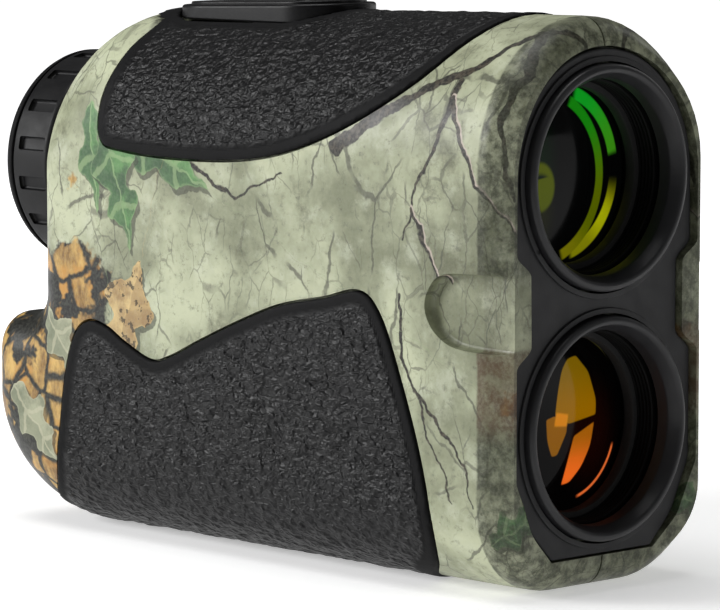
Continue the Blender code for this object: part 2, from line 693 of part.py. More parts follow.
def make_eyepiece():
    """Fixed ocular mount, moving lens cell, ribbed focusing ring and eyecup."""
    mount = in_metres([(78.4, 12.0), (94.6, 12.0), (94.6, 13.6), (102.0, 13.6),
                       (102.0, 12.6), (95.5, 12.0), (95.5, 10.9), (78.4, 10.9)])
    finish(ring_along_x("ocular_mount", mount, EYE_AXIS), "frame_plastic")
    cell = tube_along_x("ocular_cell", EYE_AXIS, 10.5 * MM, 9.4 * MM, 81.5 * MM, 98.5 * MM)
    finish(cell, "barrel_black")
    lens("field_lens", EYE_AXIS, "clear_glass", 9.1 * MM, 85.0 * MM, 3.4 * MM, 20)
    lens("eye_lens", EYE_AXIS, "clear_glass", 9.1 * MM, 94.5 * MM, 4.2 * MM, 20)
    ring = in_metres([(94.3, 15.1), (94.8, 15.7), (102.0, 15.7), (102.0, 13.9), (94.9, 13.9),
                      (94.9, 14.4), (94.3, 14.4)])
    focus = ring_along_x("diopter_ring", ring, EYE_AXIS, 2 * GRIP_SLOTS)
    bite = block("grip_slot", (94.9 * MM, 101.0 * MM), (15.1 * MM, 17 * MM), (-1.0 * MM, 1.0 * MM))
    bite.location.z = 0.0
    slots = bmesh.new()
    for k in range(GRIP_SLOTS):
        turn = Matrix.Rotation(2 * math.pi * k / GRIP_SLOTS, 4, "X")
        start = len(slots.verts)
        slots.from_mesh(bite.data)
        slots.verts.ensure_lookup_table()
        moved = Matrix.Translation((0, 0, EYE_AXIS)) @ turn @ Matrix.Translation(bite.location)
        bmesh.ops.transform(slots, matrix=moved, verts=slots.verts[start:])
    bpy.data.objects.remove(bite)
    boolean(focus, cutter(from_bmesh("grip_slots", slots)))
    finish(focus, "black_plastic")
    cup = in_metres([(102.3, 15.7), (103.5, 15.5), (104.5, 14.6), (104.5, 13.4), (103.6, 12.4),
                     (102.3, 12.2)])
    finish(ring_along_x("eyecup", cup, EYE_AXIS), "grip_rubber")


# ---------------------------------------------------------------- ranging electronics
def make_receiver():
    """Light cone, detector and the laser source."""
    cone = in_metres([(24.4, 13.4), (46.0, 5.6), (50.0, 5.6), (50.0, 4.6), (46.0, 4.6),
                      (24.4, 12.4)])
    finish(ring_along_x("receiver_cone", cone, LOWER_AXIS), "barrel_black")
    detector = rod("photodiode", place(0, LOWER_AXIS), 4.0 * MM, FRONT_X - 52.6 * MM,
                   FRONT_X - 50.4 * MM, "X", SMALL_STEPS)
    finish(at_axis(detector, LOWER_AXIS), "device_metal")
    board = block("detector_board", (52.9 * MM, 54.1 * MM), (-9 * MM, 9 * MM), (12 * MM, 29 * MM))
    finish(board, "circuit_board")
    laser = rod("laser_module", place(0, 34.5 * MM), 3.6 * MM, FRONT_X - 74 * MM,
                FRONT_X - 56 * MM, "X", SMALL_STEPS)
    finish(at_axis(laser, 34.5 * MM), "device_metal")
    main = block("main_board", (34 * MM, 84 * MM), (12.6 * MM, 13.8 * MM), (30 * MM, 52 * MM))
    finish(main, "circuit_board")
    chip = block("processor", (50 * MM, 60 * MM), (14.1 * MM, 15.3 * MM), (34 * MM, 44 * MM))
    finish(chip, "frame_plastic")


def at_axis(obj, z):
    """Put a rod made along X with absolute ends on the mid-plane at a height."""
    obj.matrix_world = Matrix.Translation((0.0, 0.0, z)) @ AXIS_TURNS["X"]
    return obj


def make_buttons():
    """Key frame, two buttons, their switches and their board."""
    frame = outline_solid("key_frame", island(), 73.7 * MM, 75.6 * MM, "top")
    opening = outline_solid("key_opening", island(-1.05 * MM), 60 * MM, 90 * MM, "top")
    boolean(frame, cutter(opening))
    finish(frame, "key_plastic")
    for name, forward in (("fire_button", True), ("mode_button", False)):
        button(name, forward)
        s = key_stem(forward)
        switch = block(name.replace("button", "switch"), (s - 2 * MM, s + 2 * MM),
                       (-2 * MM, 2 * MM), (68.9 * MM, 71.0 * MM))
        finish(switch, "device_metal")
    board = block("button_board", (KEY_S - 15 * MM, KEY_S + 9 * MM), (-5 * MM, 5 * MM),
                  (67.4 * MM, 68.6 * MM))
    finish(board, "circuit_board")


# ---------------------------------------------------------------- battery compartment
def make_battery():
    """Sleeve, cell, spring, contact, hinged door and its pin."""
    front = 68.5 * MM
    sleeve = in_metres([(68.5, 9.3), (97.0, 9.3), (97.0, 8.3), (69.7, 8.3), (69.7, 2.0),
                        (68.5, 2.0)])
    finish(ring_along_x("battery_sleeve", sleeve, BATTERY_AXIS), "frame_plastic")
    start = front + 3.6 * MM
    end = start + BATTERY_LENGTH
    shoulder = end - 0.8 * MM
    button_radius = 3.2 * MM
    outline = [(start, 0.0), (start, BATTERY_RADIUS), (shoulder, BATTERY_RADIUS),
               (shoulder, button_radius), (end, button_radius), (end, 0.0)]
    finish(ring_along_x("battery_cell", outline, BATTERY_AXIS, 24), "battery_wrap")
    finish(contact_spring(front + 1.4 * MM, start - 0.2 * MM), "device_metal")
    door = body_solid("battery_door")
    core = cutter(body_solid("door_core", 2.0 * MM))
    boolean(door, core)
    panel = block("door_panel", (95 * MM, 112 * MM), (-DOOR_HALF_WIDTH, DOOR_HALF_WIDTH),
                  (HINGE_Z + GAP, 26.2 * MM - GAP))
    boolean(door, cutter(panel), "INTERSECT")
    half = DOOR_HALF_WIDTH
    hinge = place(HINGE_S, HINGE_Z)
    knuckle = rod("door_knuckle", hinge, 1.3 * MM, -half, half, "Y", SMALL_STEPS)
    boolean(door, cutter(knuckle), "UNION")
    bore = rod("door_bore", hinge, 0.8 * MM, -half - 1 * MM, half + 1 * MM, "Y", SMALL_STEPS)
    boolean(door, cutter(bore))
    finish(door, "camo_shell")
    pin = rod("door_pin", hinge, 0.5 * MM, -11.4 * MM, 11.4 * MM, "Y", SMALL_STEPS)
    finish(pin, "screw_steel")
    tab = block("door_contact", (99.9 * MM, 101.6 * MM), (-4 * MM, 4 * MM), (14 * MM, 20.6 * MM))
    finish(tab, "device_metal")


def contact_spring(s_front, s_rear):
    """A short coil spring on the battery's axis."""
    turns, per_turn = 3.0, 10
    wire = 0.3 * MM
    curve = bpy.data.curves.new("battery_spring", "CURVE")
    curve.dimensions = "3D"
    curve.bevel_depth = wire
    curve.bevel_resolution = 2
    curve.use_fill_caps = True
    spline = curve.splines.new("POLY")
    count = int(turns * per_turn) + 1
    spline.points.add(count - 1)
    for k in range(count):
        angle = 2 * math.pi * k / per_turn
        radius = 5.5 * MM - 2.0 * MM * k / (count - 1)
        s = s_front + wire + (s_rear - s_front - 2 * wire) * k / (count - 1)
        spline.points[k].co = (FRONT_X - s, radius * math.cos(angle),
                               BATTERY_AXIS + radius * math.sin(angle), 1.0)
    return bpy.data.objects.new("battery_spring", curve)


# ---------------------------------------------------------------- fasteners
def make_screws():
    """Case screws driven from the right-hand side into the left shell's bosses."""
    for index, (s, z, _) in enumerate(SCREW_PLACES):
        head_high, head_low, tip = -SCREW_SEAT - GAP, -SCREW_SEAT - 1.7 * MM, 8 * MM
        profile = [(0.0, tip), (SCREW_RADIUS * 0.6, tip), (SCREW_RADIUS, tip - 1 * MM),
                   (SCREW_RADIUS, head_high), (SCREW_HEAD, head_high), (SCREW_HEAD, head_low),
                   (0.0, head_low)]
        screw = turned(f"case_screw_{index + 1}", profile, place(s, z), "Y", SMALL_STEPS)
        finish(screw, "screw_steel")


make_shells()
make_plate()
make_objectives()
make_view_train()
make_eyepiece()
make_receiver()
make_buttons()
make_battery()
make_screws()
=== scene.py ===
"""Looks of the handheld laser rangefinder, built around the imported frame.

Everything is in metres in the frame's axes: +X out of the objectives, -Y the user's
right-hand side, +Z up.  Side-view places are (s, z): s is the distance behind the front
plate and z the height above the resting plane.
"""
import json
import math

import bmesh
import bpy
import numpy as np
from mathutils import Matrix, Vector, noise


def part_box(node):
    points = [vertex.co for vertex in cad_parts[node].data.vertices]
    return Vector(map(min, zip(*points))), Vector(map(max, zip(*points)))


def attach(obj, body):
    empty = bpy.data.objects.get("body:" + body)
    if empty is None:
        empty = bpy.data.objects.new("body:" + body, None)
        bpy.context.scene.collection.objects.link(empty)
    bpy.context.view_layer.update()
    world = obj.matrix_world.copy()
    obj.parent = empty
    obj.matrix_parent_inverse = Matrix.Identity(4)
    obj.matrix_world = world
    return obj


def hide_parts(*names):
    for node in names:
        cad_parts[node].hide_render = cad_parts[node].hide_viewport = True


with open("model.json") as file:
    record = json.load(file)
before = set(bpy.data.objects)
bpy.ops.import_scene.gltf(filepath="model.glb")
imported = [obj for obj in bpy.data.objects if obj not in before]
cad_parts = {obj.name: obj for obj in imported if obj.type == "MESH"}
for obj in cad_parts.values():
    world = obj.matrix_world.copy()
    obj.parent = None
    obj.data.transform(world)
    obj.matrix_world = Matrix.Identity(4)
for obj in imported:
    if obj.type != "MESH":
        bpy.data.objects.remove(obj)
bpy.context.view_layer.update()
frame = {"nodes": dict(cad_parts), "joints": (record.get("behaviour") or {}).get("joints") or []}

MM = 0.001


def middle(node, axis):
    """Middle of a CAD node's box along an axis."""
    low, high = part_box(node)
    return (low[axis] + high[axis]) / 2


# ---------------------------------------------------------------- sizes from the frame
LIP = 0.35 * MM                                  # raised lips on the front plate
GAP = 0.3 * MM
FRONT_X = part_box("front_plate")[1].x - LIP
UPPER_AXIS = middle("upper_retaining_ring", 2)
LOWER_AXIS = middle("lower_retaining_ring", 2)
LENS_MID = (UPPER_AXIS + LOWER_AXIS) / 2
EYE_AXIS = middle("diopter_ring", 2)
BODY_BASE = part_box("right_shell")[0].z
GRIP_PROUD = BODY_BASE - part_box("lower_grip")[0].z
BODY_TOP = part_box("right_shell")[1].z
TOP_REAR = BODY_TOP - 1.4 * MM
BODY_HALF_WIDTH = -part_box("right_shell")[0].y
BUMP_REAR = FRONT_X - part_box("right_shell")[0].x
BODY_REAR = 94.0 * MM
TOP_RADIUS = BODY_HALF_WIDTH
BASE_RADIUS = 12.5 * MM
REAR_RADIUS = 6.0 * MM
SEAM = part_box("left_shell")[0].y
WALL = 1.8 * MM
FRONT_ROUND = 4.1 * MM
LIP_PROUD = 1.0 * MM
PLATE_THICK = 2.0 * MM
POCKET_DEPTH = PLATE_THICK + GAP
CAVITY_FRONT = 4.2 * MM
GRIP_THICK = 1.1 * MM
DOOR_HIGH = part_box("battery_door")[1]
HINGE = Vector(frame["joints"][-1]["pos_m"])
KEY_S = FRONT_X - middle("key_frame", 0)
KEY_HALF_LENGTH = (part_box("key_frame")[1].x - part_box("key_frame")[0].x) / 2
KEY_HALF_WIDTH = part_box("key_frame")[1].y
KEY_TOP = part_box("fire_button")[1].z

SAME_PLACE = 0.001 * MM                          # closer vertices than this are one
OUTLINE_STEPS = 14
CROSS_STEPS = 14
ROUND_STEPS = 128

WORK = bpy.data.collections.new("work")
bpy.context.scene.collection.children.link(WORK)
SHOWN = bpy.data.collections.new("visible")
bpy.context.scene.collection.children.link(SHOWN)


# ---------------------------------------------------------------- mesh helpers
def place(s, z, y=0.0):
    """World position of a side-view place."""
    return Vector((FRONT_X - s, y, z))


def from_bmesh(name, bm):
    """Turn a bmesh into an object in the work collection, faces outward."""
    bmesh.ops.recalc_face_normals(bm, faces=bm.faces)
    if bm.calc_volume(signed=True) < 0:
        bmesh.ops.reverse_faces(bm, faces=bm.faces)
    mesh = bpy.data.meshes.new(name)
    bm.to_mesh(mesh)
    bm.free()
    obj = bpy.data.objects.new(name, mesh)
    WORK.objects.link(obj)
    return obj


def drop(*objects):
    """Remove helper objects."""
    for obj in objects:
        data = obj.data
        bpy.data.objects.remove(obj, do_unlink=True)
        if data.users == 0:
            bpy.data.meshes.remove(data)


def settle(obj):
    """Apply an object's modifiers and its placement to its mesh."""
    graph = bpy.context.evaluated_depsgraph_get()
    mesh = bpy.data.meshes.new_from_object(obj.evaluated_get(graph))
    mesh.transform(obj.matrix_world)
    old = obj.data
    obj.modifiers.clear()
    obj.data = mesh
    obj.matrix_world = Matrix.Identity(4)
    if old.users == 0:
        bpy.data.meshes.remove(old)
    return obj


def boolean(obj, others, operation="DIFFERENCE", keep=False):
    """Cut or join in turn, then remove the helpers."""
    others = others if isinstance(others, (list, tuple)) else [others]
    for other in others:
        modifier = obj.modifiers.new("cut", "BOOLEAN")
        modifier.operation = operation
        modifier.object = other
        modifier.solver = "EXACT"
    settle(obj)
    if not keep:
        drop(*others)
    return obj


def soften(obj, width, segments=2, angle=30):
    """Round the sharp edges."""
    modifier = obj.modifiers.new("edges", "BEVEL")
    modifier.width = width
    modifier.segments = segments
    modifier.limit_method = "ANGLE"
    modifier.angle_limit = math.radians(angle)
    modifier.harden_normals = False
    return settle(obj)


def show(obj, material, node, sharp=35, body="housing"):
    """Finish a visible piece: shading, material, body, and the node it stands for."""
    mesh = obj.data
    mesh.shade_smooth()
    mesh.set_sharp_from_angle(angle=math.radians(sharp))
    modifier = obj.modifiers.new("normals", "WEIGHTED_NORMAL")
    modifier.keep_sharp = True
    modifier.weight = 80
    settle(obj)
    obj.data.materials.clear()
    obj.data.materials.append(material)
    WORK.objects.unlink(obj)
    SHOWN.objects.link(obj)
    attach(obj, body)
    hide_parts(node)


def turned(name, profile, at, axis="X", steps=ROUND_STEPS):
    """Turn a closed profile of (radius, height) about an axis through a place."""
    solid = profile[0][0] <= 0.0
    bm = bmesh.new()
    verts = [bm.verts.new((radius, 0.0, height)) for radius, height in profile]
    for first, second in zip(verts, verts[1:]):
        bm.edges.new((first, second))
    if not solid:
        bm.edges.new((verts[-1], verts[0]))
    bmesh.ops.spin(bm, geom=bm.verts[:] + bm.edges[:], axis=(0, 0, 1), cent=(0, 0, 0),
                   steps=steps, angle=2 * math.pi, use_merge=True)
    bmesh.ops.remove_doubles(bm, verts=bm.verts, dist=SAME_PLACE)
    if axis != "Z":
        degrees, about = {"X": (90, "Y"), "Y": (-90, "X")}[axis]
        bmesh.ops.rotate(bm, verts=bm.verts,
                         matrix=Matrix.Rotation(math.radians(degrees), 3, about))
    bmesh.ops.translate(bm, verts=bm.verts, vec=at)
    return from_bmesh(name, bm)


def ring_along_x(name, outline, z, steps=ROUND_STEPS):
    """A turned piece on an axis along X, from (s, radius) places in millimetres."""
    profile = [(radius * MM, FRONT_X - s * MM) for s, radius in outline]
    return turned(name, profile, (0.0, 0.0, z), "X", steps)


def rod(name, at, radius, low, high, axis="X", steps=64):
    """A solid cylinder along an axis, between two distances from a place."""
    return turned(name, [(0.0, high), (radius, high), (radius, low), (0.0, low)], at, axis, steps)


def block(name, s_range, y_range, z_range):
    """A box between two places in s, two in y and two in z."""
    bm = bmesh.new()
    bmesh.ops.create_cube(bm, size=1.0)
    lengths = [abs(high - low) for low, high in (s_range, y_range, z_range)]
    bmesh.ops.scale(bm, verts=bm.verts, vec=lengths)
    centre = place(sum(s_range) / 2, sum(z_range) / 2, sum(y_range) / 2)
    bmesh.ops.translate(bm, verts=bm.verts, vec=centre)
    return from_bmesh(name, bm)


def smooth_loop(corners, steps=8):
    """A closed Catmull-Rom curve through the given points."""
    count = len(corners)
    points = []
    for index in range(count):
        before, start, end, after = (Vector(corners[(index + k) % count]) for k in (-1, 0, 1, 2))
        for step in range(steps):
            t = step / steps
            points.append(0.5 * (2 * start + (end - before) * t
                                 + (2 * before - 5 * start + 4 * end - after) * t * t
                                 + (3 * start - before - 3 * end + after) * t ** 3))
    return points


def outline_solid(name, points, low, high, plane):
    """Extrude a closed flat outline: "side" (s, z) along Y, "front" (y, z) along s,
    "top" (s, y) along Z."""
    spot = {"side": lambda u, v, level: (FRONT_X - u, level, v),
            "front": lambda u, v, level: (FRONT_X - level, u, v),
            "top": lambda u, v, level: (FRONT_X - u, v, level)}[plane]
    bm = bmesh.new()
    rows = [[bm.verts.new(spot(u, v, level)) for u, v in points] for level in (low, high)]
    count = len(points)
    for k in range(count):
        following = (k + 1) % count
        bm.faces.new((rows[0][k], rows[0][following], rows[1][following], rows[1][k]))
    bm.faces.new(rows[0])
    bm.faces.new(rows[1])
    return from_bmesh(name, bm)


def grown(points, amount):
    """A closed loop of places moved outwards by an amount."""
    area = sum(a[0] * b[1] - b[0] * a[1] for a, b in zip(points, points[1:] + points[:1]))
    sign = 1.0 if area > 0 else -1.0
    moved = []
    for index, point in enumerate(points):
        along = Vector(points[(index + 1) % len(points)]) - Vector(points[index - 1])
        outward = Vector((along.y, -along.x)).normalized() * sign
        moved.append(Vector(point) + outward * amount)
    return moved


# ---------------------------------------------------------------- outer form of the body
def arc(centre, radii, start, end, steps):
    """Points of an elliptical arc in the side view, without its last point."""
    points = []
    for step in range(steps):
        angle = math.radians(start + (end - start) * step / steps)
        points.append((centre[0] + radii[0] * math.cos(angle),
                       centre[1] + radii[1] * math.sin(angle)))
    return points


def blend(start, end, steps):
    """Even values from start to end, without the last."""
    return [start + (end - start) * step / steps for step in range(steps)]


def line(start, end, steps):
    """Points of a straight stretch, without its last point."""
    return list(zip(blend(start[0], end[0], steps), blend(start[1], end[1], steps)))


FRONT_SECTION = 6.0 * MM
REAR_FLAT = BODY_HALF_WIDTH - REAR_RADIUS
BASE_FLAT = BODY_HALF_WIDTH - BASE_RADIUS


def body_stations():
    """Mid-plane outline, edge of the flat side, and width of the flat back, in step."""
    n = OUTLINE_STEPS
    side_low = BODY_BASE + BASE_RADIUS
    side_high = BODY_TOP - TOP_RADIUS
    bump_side = BUMP_REAR - 5.5 * MM
    outline, side, flat = [], [], []
    for middle_run, side_run, start, end in (
            (line((FRONT_SECTION, BODY_BASE), (86 * MM, BODY_BASE), 2 * n),
             line((FRONT_SECTION, side_low), (84 * MM, side_low), 2 * n), BASE_FLAT, BASE_FLAT),
            (arc((86 * MM, BODY_BASE + 16 * MM), (BUMP_REAR - 86 * MM, 16 * MM), -90, 0, 2 * n),
             arc((84 * MM, 21.5 * MM), (bump_side - 84 * MM, 21.5 * MM - side_low), -90, 0,
                 2 * n), BASE_FLAT, REAR_FLAT),
            (line((BUMP_REAR, BODY_BASE + 16 * MM), (BUMP_REAR, 26 * MM), 2),
             line((bump_side, 21.5 * MM), (bump_side, 22.5 * MM), 2), REAR_FLAT, REAR_FLAT),
            (arc((BUMP_REAR - 4 * MM, 26 * MM), (4 * MM, 4 * MM), 0, 90, n),
             arc((bump_side - 1.5 * MM, 22.5 * MM), (1.5 * MM, 1.5 * MM), 0, 90, n),
             REAR_FLAT, REAR_FLAT),
            (line((BUMP_REAR - 4 * MM, 30 * MM), (BODY_REAR + 5 * MM, 30 * MM), 1),
             line((bump_side - 1.5 * MM, 24 * MM), (94.5 * MM, 24 * MM), 1), REAR_FLAT, REAR_FLAT),
            (arc((BODY_REAR + 5 * MM, 35 * MM), (5 * MM, 5 * MM), -90, -180, n),
             arc((94.5 * MM, 30.5 * MM), (6.5 * MM, 6.5 * MM), -90, -180, n),
             REAR_FLAT, REAR_FLAT),
            (line((BODY_REAR, 35 * MM), (BODY_REAR, 55 * MM), 3),
             line((88 * MM, 30.5 * MM), (88 * MM, 46 * MM), 3), REAR_FLAT, REAR_FLAT),
            (arc((78 * MM, 55 * MM), (BODY_REAR - 78 * MM, TOP_REAR - 55 * MM), 0, 90, 2 * n),
             arc((75 * MM, 46 * MM), (13 * MM, side_high - 46 * MM), 0, 90, 2 * n),
             REAR_FLAT, 0.0),
            (line((78 * MM, TOP_REAR), (FRONT_SECTION, BODY_TOP), 2 * n),
             line((75 * MM, side_high), (FRONT_SECTION, side_high), 2 * n), 0.0, 0.0),
            ([(FRONT_SECTION, BODY_TOP)], [(FRONT_SECTION, side_high)], 0.0, 0.0)):
        outline += middle_run
        side += side_run
        flat += blend(start, end, len(middle_run))
    return outline, side, flat


def body_solid(name, inset=0.0, front=None):
    """The body's closed outer form, moved inwards by inset.

    Without front it has its moulded front edge, and with it a plain cut at that s.
    """
    outline, side, flat = body_stations()
    half_width = BODY_HALF_WIDTH - inset
    fractions = [math.sin(math.radians(90 * k / CROSS_STEPS)) for k in range(CROSS_STEPS + 1)]
    bm = bmesh.new()
    columns = []
    for index, (edge, rim, width) in enumerate(zip(outline, side, flat)):
        ahead = Vector(outline[min(index + 1, len(outline) - 1)])
        behind = Vector(outline[max(index - 1, 0)])
        along = (ahead - behind).normalized()
        edge = Vector(edge) + Vector((-along.y, along.x)) * inset
        rim = Vector(rim)
        column = []
        for fraction in fractions:
            y = width + (half_width - width) * fraction
            sink = 1.0 - math.sqrt(max(0.0, 1.0 - fraction ** 2))
            column.append((y, edge + (rim - edge) * sink))
        mirrored = [(-y, point) for y, point in reversed(column)]
        if width == 0.0:
            mirrored.pop()
        columns.append([bm.verts.new(place(p[0], p[1], y)) for y, p in mirrored + column])
    for before, after in zip(columns, columns[1:]):
        join_rows(bm, before, after)
    top, base = columns[-1], columns[0]
    right = [bm.verts.new(base[0].co.lerp(top[0].co, k / 24)) for k in range(1, 24)]
    left = [bm.verts.new(top[-1].co.lerp(base[-1].co, k / 24)) for k in range(1, 24)]
    bm.faces.new([column[0] for column in columns] + right[::-1])
    bm.faces.new([column[-1] for column in reversed(columns)] + left[::-1])
    ring = top + left + base[::-1] + right
    front_edge(bm, ring, inset, front)
    bmesh.ops.remove_doubles(bm, verts=bm.verts, dist=SAME_PLACE)
    return from_bmesh(name, bm)


def join_rows(bm, before, after):
    """Skin two rows of vertices whose counts may differ by a doubled middle."""
    if len(before) == len(after):
        for k in range(len(before) - 1):
            bm.faces.new((before[k], before[k + 1], after[k + 1], after[k]))
        return
    half = len(after) // 2
    for k in range(half):
        bm.faces.new((before[k], before[k + 1], after[k + 1], after[k]))
        bm.faces.new((before[-1 - k], after[-1 - k], after[-2 - k], before[-2 - k]))
    bm.faces.new((before[half], before[half + 1], after[half]))


def front_edge(bm, ring, inset, front):
    """Close the front: rounded along the top and base, a shallow proud lip on the sides."""
    centre = Vector((FRONT_X, 0.0, LENS_MID))
    count = len(ring)
    normals = []
    for index, vert in enumerate(ring):
        along = ring[(index + 1) % count].co - ring[index - 1].co
        normal = Vector((0.0, -along.z, along.y)).normalized()
        if normal.dot(centre - vert.co) < 0:
            normal.negate()
        normals.append(normal)
    steps = list(range(9, 91, 9)) if front is None else [90]
    previous = ring
    for degrees in steps:
        angle = math.radians(degrees)
        row = []
        for vert, normal in zip(ring, normals):
            if front is not None:
                row.append(bm.verts.new((FRONT_X - front, vert.co.y, vert.co.z)))
                continue
            share = min(1.0, degrees / 72)
            side_s = FRONT_ROUND - (FRONT_ROUND + LIP_PROUD) * share
            side_in = 1.5 * MM * share + max(0.0, degrees - 72) / 18 * 0.7 * MM
            round_s = FRONT_ROUND * (1 - math.sin(angle))
            round_in = FRONT_ROUND * (1 - math.cos(angle))
            weight = normal.y ** 2
            s = round_s + (side_s - round_s) * weight
            inward = round_in + (side_in - round_in) * weight
            point = vert.co + normal * inward
            row.append(bm.verts.new((FRONT_X - s + inset, point.y, point.z)))
        for k in range(count):
            following = (k + 1) % count
            bm.faces.new((previous[k], previous[following], row[following], row[k]))
        previous = row
    bm.faces.new(previous)


def plate_outline(grow=0.0):
    """Front plate, as (y, z): arched top, waist notches, bevelled lower corners."""
    half = 16.9 * MM + grow
    waist = 14.2 * MM + grow
    points = []
    for degrees in range(90, 0, -3):
        angle = math.radians(degrees)
        points.append((half * math.cos(angle), UPPER_AXIS + half * math.sin(angle)))
    points.append((half, UPPER_AXIS))
    for upwards in (1, -1):
        stretch = range(0, 13) if upwards == 1 else range(12, -1, -1)
        for k in stretch:
            share = (1 - math.cos(math.pi * k / 12)) / 2
            height = LENS_MID + upwards * (7.5 * MM - 3.0 * MM * k / 12)
            points.append((half + (waist - half) * share, height))
    corners = [(16.9, 17.5), (16.9, 16.0), (15.3, 12.7), (13.5, 8.9), (9.4, 4.9)]
    corners = [(y * MM + grow, z * MM - grow * 0.7) for y, z in corners]
    points += round_corners(corners)
    right = [(-y, z) for y, z in reversed(points[1:])]
    return points + right


def round_corners(corners, share=0.3, steps=5):
    """An open run of corners with each inner corner rounded."""
    points = [corners[0]]
    for before, corner, after in zip(corners, corners[1:], corners[2:]):
        before, corner, after = Vector(before), Vector(corner), Vector(after)
        start = corner.lerp(before, share)
        end = corner.lerp(after, share)
        for step in range(steps + 1):
            t = step / steps
            points.append(tuple(start.lerp(corner, t).lerp(corner.lerp(end, t), t)))
    points.append(corners[-1])
    return points


# ---------------------------------------------------------------- outlines of the soft covers
TOP_GRIP = [(s * MM, z * MM) for s, z in (
    (83.0, 80.0), (82.6, 75.0), (80.6, 73.2), (77.6, 72.2), (78.2, 68.0), (79.2, 61.5),
    (78.3, 56.2), (74.0, 55.0), (63.0, 54.5), (50.0, 55.0), (39.0, 57.0), (28.0, 61.2),
    (18.6, 67.0), (14.0, 72.7), (12.4, 76.5), (12.0, 80.0), (42.0, 80.5))]
LOWER_GRIP = [(s * MM, z * MM) for s, z in (
    (81.4, 30.4), (84.4, 28.0), (86.5, 21.6), (87.9, 13.0), (90.0, 7.0), (94.5, 2.4),
    (97.0, -3.0), (60.0, -4.0), (22.0, -3.0), (20.5, 0.4), (15.1, 4.0), (13.1, 9.5),
    (14.7, 17.7), (18.4, 27.9), (22.2, 36.0), (26.2, 38.9), (33.0, 37.5), (41.6, 35.8),
    (49.5, 33.0), (57.7, 29.6), (64.0, 26.8), (68.0, 26.0), (73.5, 28.0), (77.5, 29.9))]


# ---------------------------------------------------------------- button island outlines
def island(grow=0.0, steps=32):
    """Stadium outline of the button island, as (s, y)."""
    width = KEY_HALF_WIDTH + grow
    straight = KEY_HALF_LENGTH - KEY_HALF_WIDTH
    points = []
    for end, start in ((1, -90), (-1, 90)):
        for step in range(steps + 1):
            angle = math.radians(start + 180 * step / steps)
            points.append((KEY_S + end * straight + width * math.cos(angle),
                           width * math.sin(angle)))
    return points


def button_outline(forward, steps=32):
    """One half of the island inside its frame, parted from the other by a lazy S."""
    width = KEY_HALF_WIDTH - 1.3 * MM
    straight = KEY_HALF_LENGTH - KEY_HALF_WIDTH
    points = []
    for step in range(steps + 1):
        y = width * (1 - 2 * step / steps)
        swing = 4.5 * MM * math.sin(math.pi * y / width)
        points.append((swing - GAP / 2, y))
    for step in range(steps + 1):
        angle = math.radians(-90 - 180 * step / steps)
        points.append((width * math.cos(angle) - straight, width * math.sin(angle)))
    turn = 1 if forward else -1
    return [(KEY_S + turn * s, turn * y) for s, y in points]


# ---------------------------------------------------------------- shells
SCREWS = [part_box(f"case_screw_{k}") for k in (1, 2, 3, 4)]
WIDE = 30 * MM                            # reach of a cutter past either side of the body
KEY_CUT = (60 * MM, 90 * MM)              # heights of a cutter round the button island
BEHIND = 112 * MM                         # s of a place behind the battery door


def cover_cutter(name, corners):
    """The pocket a rubber cover sits in."""
    recess = body_solid(name, -3 * MM)
    around = grown(smooth_loop(corners), GAP)
    boolean(recess, body_solid(name + "_floor", GRIP_THICK + GAP))
    window = outline_solid(name + "_window", around, -WIDE, WIDE, "side")
    return boolean(recess, window, "INTERSECT")


def make_shells(material):
    """Two half shells with every pocket, window and boss they need."""
    cuts = [body_solid("cavity", WALL + GRIP_THICK, CAVITY_FRONT),
            cover_cutter("top_recess", TOP_GRIP), cover_cutter("lower_recess", LOWER_GRIP),
            outline_solid("pocket", plate_outline(GAP), -4 * MM, POCKET_DEPTH, "front")]
    for name, z, radius, front, rear in (
            ("upper_port", UPPER_AXIS, 14.5, -2, 8), ("lower_port", LOWER_AXIS, 14.5, -2, 8),
            ("eye_port", EYE_AXIS, 12.3, 78, 100)):
        cuts.append(rod(name, (0, 0, z), radius * MM, FRONT_X - rear * MM, FRONT_X - front * MM))
    cuts.append(outline_solid("key_port", island(-0.9 * MM), *KEY_CUT, "top"))
    half = DOOR_HIGH.y + GAP
    cuts += [block("window", (97 * MM, BEHIND), (-half, half), (HINGE.z, DOOR_HIGH.z + GAP)),
             rod("knuckle_groove", HINGE, 1.7 * MM, -half, half, "Y", 40),
             rod("pin_bore", HINGE, 0.9 * MM, -11.8 * MM, 11.8 * MM, "Y", 24),
             make_scallop(-1), make_scallop(1)]
    for name, side in (("right_shell", -1), ("left_shell", 1)):
        shell = body_solid(name + "_skin")
        away = sorted((SEAM * side, -40 * MM * side))
        boolean(shell, block("split", (-20 * MM, 130 * MM), away, (-20 * MM, 100 * MM)))
        boolean(shell, cuts, keep=True)
        for low, high in SCREWS:
            add_boss(shell, (low + high) / 2, side)
        show(shell, material, name, 30)
    drop(*cuts)


def add_boss(shell, at, side):
    """A screw boss from the seam outwards, with its screw hole and head seat."""
    at = Vector((at.x, 0.0, at.z))
    reach = 17 * MM if abs(at.z - 35.4 * MM) < MM else 10 * MM
    low, high = sorted((SEAM * side, reach * side))
    boolean(shell, rod("boss", at, 2.4 * MM, low, high, "Y", 40), "UNION")
    low, high = sorted((-0.5 * MM * side, (WIDE if side < 0 else 9.6 * MM) * side))
    boolean(shell, rod("hole", at, 1.2 * MM, low, high, "Y", 32))
    if side < 0:
        boolean(shell, rod("seat", at, 2.2 * MM, -WIDE, -8.7 * MM, "Y", 40))


